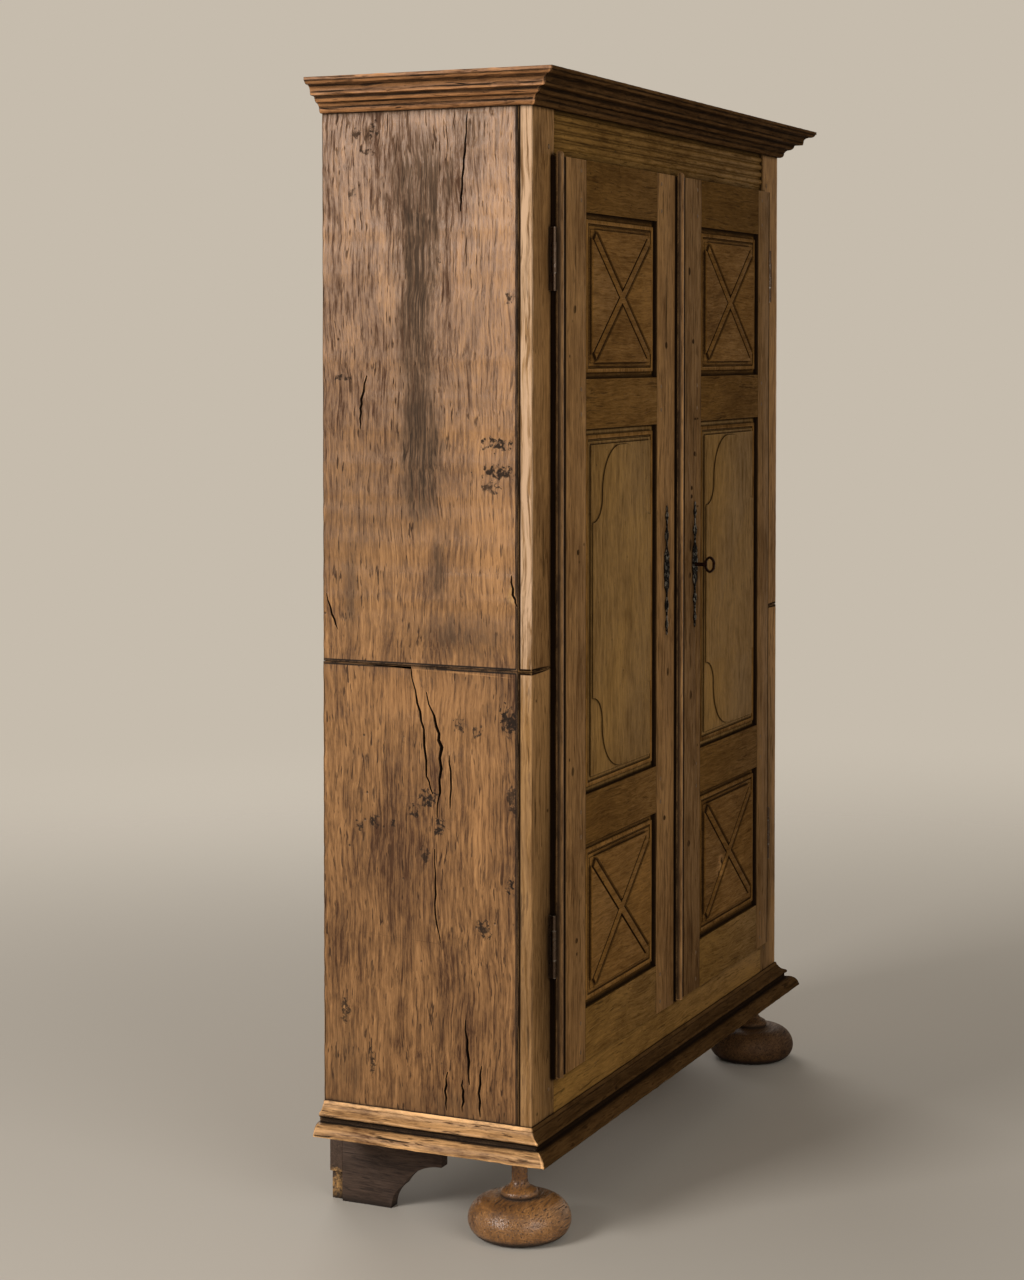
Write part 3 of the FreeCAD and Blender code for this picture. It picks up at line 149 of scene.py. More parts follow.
def add(tree, kind, inputs=None, out=0, stops=(), **settings):
    """Add a node with its settings, ramp stops, and values or links for its inputs; return an output."""
    node = tree.nodes.new(f"ShaderNode{kind}")
    for key, value in settings.items():
        setattr(node, key, value)
    for key, value in (inputs or {}).items():
        socket = node.inputs[key]
        if isinstance(value, bpy.types.NodeSocket):
            tree.links.new(value, socket)
        else:
            socket.default_value = (*value, 1.0) if socket.type == "RGBA" else value
    for index, (position, shade) in enumerate(stops):
        elements = node.color_ramp.elements
        element = elements[index] if index < 2 else elements.new(position)
        element.position = position
        element.color = (*shade, 1.0) if isinstance(shade, tuple) else (shade, shade, shade, 1.0)
    return node.outputs[out]


def new_material(name):
    """Start a material and return it with its tree and shader."""
    material = bpy.data.materials.new(name)
    material.use_nodes = True
    return material, material.node_tree, material.node_tree.nodes["Principled BSDF"]


def spot(tree, coords, rim, mark):
    """A ragged patch at a place on a piece: 1 in its middle, 0 outside."""
    inverse = [1 / radius for radius in mark.radii]
    place = [-at / radius for at, radius in zip(mark.centre, mark.radii)]
    tear = [mark.torn if radius < THROUGH else 0.0 for radius in mark.radii]
    at = add(tree, "Mapping", {"Vector": coords, "Location": place, "Scale": inverse})
    at = add(tree, "VectorMath", {0: rim, 1: tear, 2: at}, operation="MULTIPLY_ADD")
    fall = add(tree, "TexGradient", {"Vector": at}, out="Fac", gradient_type="SPHERICAL")
    share = {"Value": fall, "From Max": mark.soften}
    return add(tree, "MapRange", share, interpolation_type="SMOOTHSTEP")


def tones(middle, contrast=1.0):
    """Light, middle and dark tone of a piece of oak."""
    light = tuple(c * (1 + share * contrast) for c, share in zip(middle, (0.58, 0.62, 0.66)))
    dark = tuple(c * max(0.08, 1 - share * contrast) for c, share in zip(middle, (0.60, 0.64, 0.66)))
    return light, tuple(middle), dark


def times(paint, share):
    """A paint made lighter or darker by a share."""
    return tuple(c * share for c in paint)


def board_chance(tree, coords, boards):
    """A random share for each piece, or for each of the boards side by side that a piece is made of."""
    chance = add(tree, "ObjectInfo", out="Random")
    if boards:
        across, first, width = boards
        row = add(tree, "SeparateXYZ", {"Vector": coords}, out=across)
        count = {0: row, 1: 1 / width, 2: -first / width}
        row = add(tree, "Math", count, operation="MULTIPLY_ADD")
        row = add(tree, "Math", {0: row}, operation="FLOOR")
        row = add(tree, "Math", {0: row, 1: chance}, operation="ADD")
        chance = add(tree, "TexWhiteNoise", {"W": row}, noise_dimensions="1D")
    return chance


def mark_layers(tree, coords, own, rim, broken, marks):
    """Share and paint of each mark. Those along the grain are torn by rim and opened by broken."""
    noise = {"Vector": own, "Scale": 1 / (9 * MM), "Detail": 5.0, "Roughness": 0.6}
    pits = add(tree, "TexNoise", noise)
    pit_rim = {0: pits.node.outputs["Color"], 1: HALF}
    pit_rim = add(tree, "VectorMath", pit_rim, operation="SUBTRACT")
    eaten = add(tree, "ValToRGB", {"Fac": pits}, stops=((0.42, 0.2), (0.52, 1.0)))
    layers = []
    for mark in marks:
        edge, cover = (pit_rim, eaten) if mark.torn >= PIT else (rim, broken)
        patch = spot(tree, coords, edge, mark)
        if mark.torn:
            patch = add(tree, "Math", {0: patch, 1: cover}, operation="MULTIPLY")
        patch = add(tree, "Math", {0: patch, 1: mark.strength}, operation="MULTIPLY")
        layers.append((patch, mark.paint))
    return layers


# Oak that was sawn, planed by hand and waxed for generations: fibres that wander along the grain, short dark
# pores and specks, sooty dirt and painted shade that fill corners, pale rubbed edges that also carry painted
# highlights, and a soft uneven gloss.
def waxed_oak(
    name, grain, middle, contrast=1.0, close=1.0, heart=None, marks=(), split=0.25, grime_and_shade=0.9, rub_and_highlight=0.45,
    rough=0.46, gloss=DULL, reach=16 * MM, full=0.55, boards=None,
):
    """Make a waxed oak whose fibres run along one axis; close is how close they lie.

    Rings lie round the heart of the tree, split is how dark the shakes are, and rub_and_highlight how pale
    the edges are painted, for wear and painted highlights. Sooty dirt and painted shade as strong as
    grime_and_shade spread reach far out of a hollow, and are full where less than the full share of the light
    comes in. A piece made of boards side by side gives the axis across them, where the first one starts and
    how wide each one is.
    """
    soot_and_shade = tuple(bpy.context.scene.linen_press_colours.soot_and_shade)
    light, middle, dark = tones(middle, contrast)
    material, tree, shader = new_material(name)
    coords = add(tree, "TexCoord", out="Object")
    chance = board_chance(tree, coords, boards)
    offset = add(tree, "VectorMath", {0: (4.1, 6.7, 2.9), "Scale": chance}, operation="SCALE")
    own = add(tree, "VectorMath", {0: coords, 1: offset}, operation="ADD")
    noise = {"Vector": own, "Scale": 1 / (150 * MM), "Detail": 2.0}
    sway = add(tree, "TexNoise", noise, out="Color")
    sway = add(tree, "VectorMath", {0: sway, 1: HALF}, operation="SUBTRACT")
    wander = {0: sway, 1: (22 * MM, 22 * MM, 22 * MM), 2: own}
    grown = add(tree, "VectorMath", wander, operation="MULTIPLY_ADD")

    def streaks(across_mm, along_mm, detail, roughness=0.6):
        """Uneven streaks drawn out along the grain."""
        stretch = [close / (across_mm * MM)] * 3
        stretch["XYZ".index(grain)] = close / (along_mm * MM)
        at = add(tree, "Mapping", {"Vector": grown, "Scale": stretch})
        noise = {"Vector": at, "Scale": 1.0, "Detail": detail, "Roughness": roughness}
        return add(tree, "TexNoise", noise)

    # The finest fibres of oak are a third of a millimetre across; they are drawn eight times as coarse, so
    # that they show.
    broad = streaks(70, 520, 4.0)
    fibre = streaks(5.0, 150, 5.0, 0.7)
    fine = streaks(2.6, 45, 4.0, 0.75)
    mottle = streaks(30, 85, 6.0, 0.70)
    cloud = add(tree, "TexNoise", {"Vector": own, "Scale": 1 / (230 * MM), "Detail": 3.0})
    weights = [(broad, 0.6), (fibre, 1.0), (fine, 1.1), (mottle, 1.0), (cloud, 0.6)]
    weights.append((chance, 0.45 if boards else 0.18))
    if heart:
        turned = {"Vector": coords, "Location": [-c for c in heart], "Rotation": (0.05, 0.035, 0.04)}
        at = add(tree, "Mapping", turned)
        wave = {"Vector": at, "Scale": 0.314 / (11 * MM), "Distortion": 14.0}
        wave.update({"Detail": 3.0, "Detail Scale": 0.22})
        rings = add(tree, "TexWave", wave, out="Fac", wave_type="RINGS", rings_direction=grain)
        weights.append((rings, 0.11))
    tone = 0.5 - sum(share for _, share in weights) / 2
    for pattern, share in weights:
        tone = add(tree, "Math", {0: pattern, 1: share, 2: tone}, operation="MULTIPLY_ADD")
    stops = ((0.12, dark), (0.50, middle), (0.82, light))
    shade = add(tree, "ValToRGB", {"Fac": tone}, stops=stops)
    blot = add(tree, "ValToRGB", {"Fac": mottle}, stops=((0.55, 0.0), (0.76, 0.35)))
    stops = ((0.60, 0.0), (0.65, min(0.9, 0.66 * contrast ** 2)))
    pores = add(tree, "ValToRGB", {"Fac": streaks(4.2, 34, 2.0, 0.5)}, stops=stops)
    crowded = add(tree, "ValToRGB", {"Fac": mottle}, stops=((0.42, 0.25), (0.56, 1.0)))
    pores = add(tree, "Math", {0: pores, 1: crowded}, operation="MULTIPLY")
    stops = ((0.63, 0.0), (0.67, split))
    shakes = add(tree, "ValToRGB", {"Fac": streaks(5.5, 150, 3.0, 0.5)}, stops=stops)
    cell = add(tree, "TexVoronoi", {"Vector": own, "Scale": close / (34 * MM)})
    chosen = {"Fac": cell.node.outputs["Color"]}
    chosen = add(tree, "ValToRGB", chosen, stops=((0.60, 0.0), (0.62, 0.8)))
    speck = add(tree, "ValToRGB", {"Fac": cell}, stops=((0.035, 1.0), (0.085, 0.0)))
    speck = add(tree, "Math", {0: speck, 1: chosen}, operation="MULTIPLY")
    rim = {0: streaks(13, 40, 5.0).node.outputs["Color"], 1: HALF}
    rim = add(tree, "VectorMath", rim, operation="SUBTRACT")
    broken = add(tree, "ValToRGB", {"Fac": fibre}, stops=((0.40, 0.1), (0.55, 1.0)))
    # Pale rubbed edges: wear, and painted highlights along the convex edges.
    ridge = add(tree, "AmbientOcclusion", {"Distance": 3.5 * MM}, out="AO", samples=8, inside=True)
    ridge = add(tree, "ValToRGB", {"Fac": ridge}, stops=((0.45, rub_and_highlight), (0.85, 0.0)))
    handled = add(tree, "ValToRGB", {"Fac": mottle}, stops=((0.40, 0.1), (0.56, 1.0)))
    ridge = add(tree, "Math", {0: ridge, 1: handled}, operation="MULTIPLY")
    # Painted shade: where ambient occlusion finds a hollow, the oak is darkened as if shaded, together with
    # its old dirt.
    hollow = add(tree, "AmbientOcclusion", {"Distance": reach}, out="AO", samples=8)
    shaded_corners = add(tree, "ValToRGB", {"Fac": hollow}, stops=((full, grime_and_shade), (0.97, 0.0)))
    layers = [(blot, times(dark, 0.8)), (pores, times(dark, 0.5)), (shakes, soot_and_shade), (speck, soot_and_shade)]
    layers += mark_layers(tree, coords, own, rim, broken, marks)
    layers += [(ridge, times(light, 1.2)), (shaded_corners, soot_and_shade)]
    for share, paint in layers:
        shade = add(tree, "Mix", {0: share, 6: shade, 7: paint}, out=2, data_type="RGBA")
    tree.links.new(shade, shader.inputs["Base Color"])
    depth = add(tree, "RGBToBW", {"Color": shade})
    sheen = {"Value": depth, "From Min": 0.01, "From Max": 0.13, "To Min": 0.85, "To Max": rough - 0.06}
    tree.links.new(add(tree, "MapRange", sheen), shader.inputs["Roughness"])
    height = add(tree, "Math", {0: fine, 1: 0.6, 2: fibre}, operation="MULTIPLY_ADD")
    for pattern, share in ((mottle, 0.9), (pores, -0.5), (shakes, -1.2), (speck, -1.2)):
        height = add(tree, "Math", {0: pattern, 1: share, 2: height}, operation="MULTIPLY_ADD")
    bump = add(tree, "Bump", {"Strength": 0.55, "Distance": 0.9 * MM, "Height": height})
    tree.links.new(bump, shader.inputs["Normal"])
    shader.inputs["IOR"].default_value = 1.5
    shader.inputs["Specular IOR Level"].default_value = gloss
    return material


# Iron forged by hand and handled for generations: near-black scale, a hammered face that breaks up the
# light, bright grey where it is rubbed, which on the edges also paints glints.
def forged_iron(name, scale_colour, worn_share):
    """Make forged iron with dark scale and rubbed edges."""
    colours = bpy.context.scene.linen_press_colours
    material, tree, shader = new_material(name)
    coords = add(tree, "TexCoord", out="Object")
    hammered = add(tree, "TexNoise", {"Vector": coords, "Scale": 1 / (7 * MM), "Detail": 3.0})
    ridge = add(tree, "AmbientOcclusion", {"Distance": 2.5 * MM}, out="AO", samples=8, inside=True)
    ridge = add(tree, "ValToRGB", {"Fac": ridge}, stops=((0.40, worn_share), (0.80, 0.0)))
    rubbed = add(tree, "ValToRGB", {"Fac": hammered}, stops=((0.48, 0.05), (0.62, 1.0)))
    worn = add(tree, "Math", {0: ridge, 1: rubbed}, operation="MULTIPLY")
    paints = {0: worn, 6: tuple(scale_colour), 7: tuple(colours.rubbed_iron_and_glints)}
    shade = add(tree, "Mix", paints, out=2, data_type="RGBA")
    tree.links.new(shade, shader.inputs["Base Color"])
    polish = {"Value": hammered, "From Min": 0.3, "From Max": 0.7, "To Min": 0.50, "To Max": 0.22}
    tree.links.new(add(tree, "MapRange", polish), shader.inputs["Roughness"])
    bump = add(tree, "Bump", {"Strength": 0.7, "Distance": 0.8 * MM, "Height": hammered})
    tree.links.new(bump, shader.inputs["Normal"])
    shader.inputs["Metallic"].default_value = 0.9
    shader.inputs["Specular Tint"].default_value = (0.25, 0.25, 0.25, 1.0)
    return material


def only(obj):
    """Select one object and make it active."""
    bpy.ops.object.select_all(action="DESELECT")
    obj.select_set(True)
    bpy.context.view_layer.objects.active = obj


def unit_sheet():
    """Start a new piece as a sheet of unit size, in edit mode with all of it selected."""
    bpy.ops.object.select_all(action="DESELECT")
    bpy.ops.mesh.primitive_plane_add(size=1)
    bpy.ops.object.mode_set(mode="EDIT")
    bpy.ops.mesh.select_all(action="SELECT")
    return bpy.context.object


def turn_outwards():
    """Turn all faces of the piece in edit mode outwards, and leave edit mode."""
    bpy.ops.mesh.select_all(action="SELECT")
    bpy.ops.mesh.normals_make_consistent(inside=False)
    bpy.ops.object.mode_set(mode="OBJECT")


def finish_piece(piece, body, material):
    """Shade a finished piece, give it its material and let it ride on its body."""
    only(piece)
    bpy.ops.object.shade_smooth_by_angle(angle=math.radians(35))
    piece.data.materials.clear()
    piece.data.materials.append(material)
    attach(piece, body)


def paint_node(node_name, material):
    """Give a node that stays as it is its material."""
    NODES[node_name].data.materials.clear()
    NODES[node_name].data.materials.append(material)


def ragged(piece, run, depth):
    """Cut a piece into short steps along its run and wear its edges in unevenly."""
    pitch = bpy.context.scene.linen_press_sizes.ragged_pitch
    places = [vertex.co["XYZ".index(run)] for vertex in piece.data.vertices]
    first, last = min(places), max(places)
    axis = Vector([float(letter == run) for letter in "XYZ"])
    only(piece)
    bpy.ops.object.mode_set(mode="EDIT")
    for step in range(1, int((last - first) / pitch)):
        bpy.ops.mesh.select_all(action="SELECT")
        bpy.ops.mesh.bisect(plane_co=axis * (first + step * pitch), plane_no=axis)
    bpy.ops.object.mode_set(mode="OBJECT")
    clouds = bpy.data.textures.new(f"uneven_{piece.name}", "CLOUDS")
    clouds.noise_scale = 2.5 * pitch
    clouds.noise_depth = 4
    uneven = piece.modifiers.new("uneven", "DISPLACE")
    uneven.texture = clouds
    uneven.texture_coords = "LOCAL"
    uneven.mid_level = 1.0
    uneven.strength = depth
    bpy.ops.object.modifier_apply(modifier=uneven.name)


def worn_copy(node_name, wear, material, blade=None, run=None, depth=0.0):
    """Copy a node, round and wear its edges, split it by a crack blade, and put it in its place."""
    piece = bpy.data.objects.new(f"worn_{node_name}", NODES[node_name].data.copy())
    bpy.context.scene.collection.objects.link(piece)
    only(piece)
    bpy.ops.mesh.customdata_custom_splitnormals_clear()
    bpy.ops.object.mode_set(mode="EDIT")
    bpy.ops.mesh.select_all(action="SELECT")
    bpy.ops.mesh.remove_doubles(threshold=0.01 * MM)
    bpy.ops.mesh.dissolve_limited(angle_limit=math.radians(0.5))
    bpy.ops.object.mode_set(mode="OBJECT")
    rounding = piece.modifiers.new("wear", "BEVEL")
    rounding.width = wear
    rounding.segments = 2
    rounding.limit_method = "ANGLE"
    rounding.angle_limit = math.radians(38)
    bpy.ops.object.modifier_apply(modifier=rounding.name)
    if blade:
        crack = piece.modifiers.new("crack", "BOOLEAN")
        crack.operation = "DIFFERENCE"
        crack.solver = "EXACT"
        crack.object = blade
        bpy.ops.object.modifier_apply(modifier=crack.name)
        bpy.data.objects.remove(blade)
    if run:
        ragged(piece, run, depth)
        low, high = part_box(node_name)
        for vertex in piece.data.vertices:
            vertex.co = [min(max(at, least), most) for at, least, most in zip(vertex.co, low, high)]
    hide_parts(node_name)
    finish_piece(piece, BODIES[node_name], material)
    return piece


# Drying cracks in the left side boards, by half: depth and height of their points, and the widest opening,
# in mm.
CRACKS = {
    "upper": (
        (((-57, 1862), (-54, 1812), (-50, 1771), (-46, 1722), (-45, 1700)), 1.7),
        (((130, 1428), (139, 1389), (141, 1366), (142, 1338)), 2.4),
        (((-136, 1102), (-140, 1070), (-147, 1052)), 2.6),
        (((207, 1060), (196, 1025), (185, 1000)), 1.6),
    ),
    "lower": (
        (((49, 944), (35, 884), (24, 840), (18, 762), (7, 733)), 2.6),
        (((20, 902), (-1, 846), (-8, 812), (-7, 758), (-1, 694)), 4.4),
        (((-23, 799), (-27, 760), (-25, 711)), 1.7),
        (((4, 640), (2, 581), (3, 532), (-7, 484)), 1.7),
        (((-52, 360), (-57, 310), (-60, 252)), 3.2),
        (((-19, 268), (-16, 236), (-18, 204)), 2.4),
        (((-46, 258), (-49, 232), (-47, 204)), 2.8),
        (((-82, 286), (-78, 240), (-80, 200)), 2.4),
    ),
}


def crack_blade(path, widest, face_x, depth):
    """Extrude a thin blade along a crack's line, widest in its middle and pointed at its ends."""
    blade = unit_sheet()
    places = []
    for (y, z), (next_y, next_z) in zip(path, path[1:]):
        for share in (0.0, 0.34, 0.67):
            jog = 0.35 * widest * (1 if len(places) % 2 else -1)
            places.append((y + (next_y - y) * share + jog, z + (next_z - z) * share))
    places.append(path[-1])
    last = len(places) - 1
    widths = [widest * MM * max(0.12, math.sin(math.pi * index / last)) for index in range(last + 1)]
    centres = [Vector((face_x, y * MM, z * MM)) for y, z in places]
    bpy.ops.transform.resize(value=(2 * depth, widths[0], 1))
    bpy.ops.transform.translate(value=centres[0])
    for index in range(1, last + 1):
        step = centres[index] - centres[index - 1]
        bpy.ops.mesh.extrude_region_move(TRANSFORM_OT_translate={"value": step})
        bpy.ops.transform.resize(
            value=(1, widths[index] / widths[index - 1], 1), center_override=centres[index]
        )
    turn_outwards()
    return blade


def joined(pieces, name):
    """Join like pieces into one object."""
    bpy.ops.object.select_all(action="DESELECT")
    for piece in pieces:
        piece.select_set(True)
    bpy.context.view_layer.objects.active = pieces[0]
    bpy.ops.object.join()
    pieces[0].name = name
    return pieces[0]


# Marks on the side boards: paint, how far they are torn, the side, then rows of depth and height, half the
# width and half the height in mm, softness and strength.
SIDE_MARKS = (
    ("pale", 1.6, "left", (
        (-40, 1600, 18, 150, 1.0, 0.70),
        (-112, 1560, 60, 380, 1.0, 0.60),
        (-95, 1180, 60, 220, 1.0, 0.55),
        (15, 1150, 14, 70, 0.9, 0.70),
        (30, 895, 190, 75, 1.0, 0.60),
        (-80, 720, 60, 200, 1.0, 0.45),
    )),
    ("raw", 1.6, "left", ((-138, 1072, 10, 24, 0.5, 0.75),)),
    ("stain", 1.6, "left", (
        (30, 1745, 85, 125, 0.7, 0.80),
        (30, 1640, 50, 140, 0.7, 0.85),
        (36, 1480, 44, 210, 0.7, 0.90),
        (28, 1290, 52, 170, 0.7, 0.95),
        (0, 1105, 26, 70, 0.8, 0.80),
        (-40, 1000, 150, 50, 1.0, 0.70),
        (160, 1070, 18, 110, 0.8, 0.60),
        (-70, 1840, 60, 60, 1.0, 0.60),
        (170, 250, 60, 120, 1.0, 0.50),
        (-30, 215, 200, 40, 1.0, 0.50),
    )),
    ("stain", 1.6, "right", (
        (-20, 1500, 60, 300, 0.9, 0.80),
        (90, 1150, 70, 160, 0.9, 0.70),
        (10, 520, 70, 240, 1.0, 0.60),
    )),
    ("soot_and_shade", PIT, "left", (
        (115, 1838, 10, 18, 0.3, 0.85),
        (148, 1832, 7, 9, 0.3, 0.8),
        (129, 1801, 12, 6, 0.3, 0.8),
        (158, 1733, 8, 14, 0.3, 0.7),
        (-5, 1619, 5, 7, 0.3, 0.9),
        (-133, 1557, 9, 10, 0.3, 0.85),
        (174, 1425, 15, 7, 0.3, 0.9),
        (-109, 1318, 24, 11, 0.3, 0.95),
        (-112, 1272, 30, 13, 0.3, 0.95),
        (-98, 1246, 18, 10, 0.3, 0.8),
        (145, 670, 7, 9, 0.3, 0.9),
        (115, 678, 9, 11, 0.3, 0.9),
        (81, 679, 8, 9, 0.3, 0.9),
        (40, 701, 11, 13, 0.3, 0.9),
        (15, 725, 16, 18, 0.3, 0.95),
        (-5, 680, 11, 16, 0.3, 0.95),
        (22, 629, 9, 18, 0.3, 0.8),
        (-138, 734, 10, 20, 0.3, 0.8),
        (-133, 861, 15, 27, 0.3, 0.95),
        (-133, 588, 9, 13, 0.3, 1.0),
        (-85, 514, 14, 15, 0.3, 0.9),
        (-74, 842, 8, 9, 0.3, 0.85),
        (-45, 851, 10, 12, 0.3, 0.85),
        (122, 271, 6, 24, 0.3, 0.85),
        (171, 348, 9, 26, 0.3, 0.85),
    )),
    ("soot_and_shade", PIT, "right", (
        (60, 1610, 16, 20, 0.3, 0.9),
        (-60, 760, 15, 18, 0.3, 0.9),
    )),
    ("stain", 0.0, "left", (
        (34, 1340, 75, 190, 1.0, 0.45),
        (40, 1560, 65, 230, 1.0, 0.25),
        (140, 1180, 110, 260, 1.0, 0.25),
    )),
)
# The side boards are worn in deeper than the mouldings, and the case stiles less deep.
BOARD_RAGGED = 1.4
STILE_RAGGED = 0.5


class LINENPRESS_OT_side_boards(bpy.types.Operator):
    """Round, crack and stain the broad side boards of the case"""

    bl_idname = "linen_press.side_boards"
    bl_label = "Side boards"

    def execute(self, context):
        sizes = context.scene.linen_press_sizes
        colours = context.scene.linen_press_colours
        low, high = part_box("side_board_upper_left")
        middle_y = (low.y + high.y) / 2
        oak = waxed_oak(
            "waxed_oak_side_boards",
            "Z",
            colours.side_oak,
            heart=(-0.57, 0.02, 0.0),
            marks=self.marks(colours, low),
            contrast=1.25,
            rough=0.34,
            gloss=0.25,
        )
        # The right boards have the left ones' cracks, turned round.
        for half, cracks in CRACKS.items():
            for side, face_x, way in (("left", low.x, 1), ("right", -low.x, -1)):
                shift = 0 if way > 0 else 2 * middle_y / MM
                blades = []
                for path, widest in cracks:
                    turned = [(y * way + shift, z) for y, z in path]
                    blades.append(crack_blade(turned, widest, face_x, sizes.crack_depth))
                blade = joined(blades, f"crack_blade_{half}_{side}")
                depth = sizes.ragged_depth * BOARD_RAGGED
                worn_copy(f"side_board_{half}_{side}", sizes.board_wear, oak, blade, run="Z", depth=depth)
        return {"FINISHED"}

    def marks(self, colours, low):
        """Stains, knots and chips, and the dirt along the front edges and the seam."""
        soot_and_shade = tuple(colours.soot_and_shade)
        paints = {
            "pale": times(colours.side_oak, 1.75),
            "raw": tuple(colours.raw_oak),
            "stain": tuple(colours.stain),
            "soot_and_shade": soot_and_shade,
        }
        faces = {"left": low.x, "right": -low.x}
        marks = []
        for paint, torn, side, rows in SIDE_MARKS:
            for y, z, across, along, soften, strength in rows:
                place = (faces[side], y * MM, z * MM)
                radii = (THROUGH, across * MM, along * MM)
                marks.append(Mark(place, radii, soften, strength, paints[paint], torn))
        for x in faces.values():
            marks.append(Mark((x, low.y, MIDDLE_Z), (THROUGH, DARK_LINE, TALL), 0.3, 1.0, soot_and_shade))
            marks.append(Mark((x, 0, low.z), (THROUGH, 900 * MM, DARK_LINE), 0.3, 1.0, soot_and_shade))
        return marks


# The left-hand stile of each door carries the bead.
LEFT_STILES = ("door_left_hinge_stile", "door_right_lock_stile")
# Dark chips in a stile: place across and height, then half the width and half the height, in mm.
CHIPS = {
    "door_right_lock_stile": (
        (114, 1275, 12, 6),
        (96, 1212, 7, 5),
        (96, 1196, 6, 5),
        (88, 1105, 8, 14),
        (86, 1047, 7, 7),
        (118, 1342, 16, 3),
        (120, 1176, 14, 3),
        (80, 1620, 7, 9),
        (102, 1488, 8, 6),
        (92, 820, 8, 11),
        (110, 690, 6, 8),
        (84, 540, 9, 7),
    ),
    "door_left_hinge_stile": (
        (-470, 1540, 7, 8),
        (-455, 1130, 8, 6),
        (-478, 760, 7, 10),
        (-462, 470, 8, 6),
    ),
    "door_left_meeting_stile": (
        (-40, 1480, 7, 8),
        (-28, 880, 7, 10),
        (-45, 610, 8, 6),
    ),
}
# The right door is of darker oak than the left one, and the doors' top rails are darker than the others.
DOOR_SHADES = {"door_left": 1.0, "door_right": 0.68}
TOP_RAIL_SHADE = 0.85


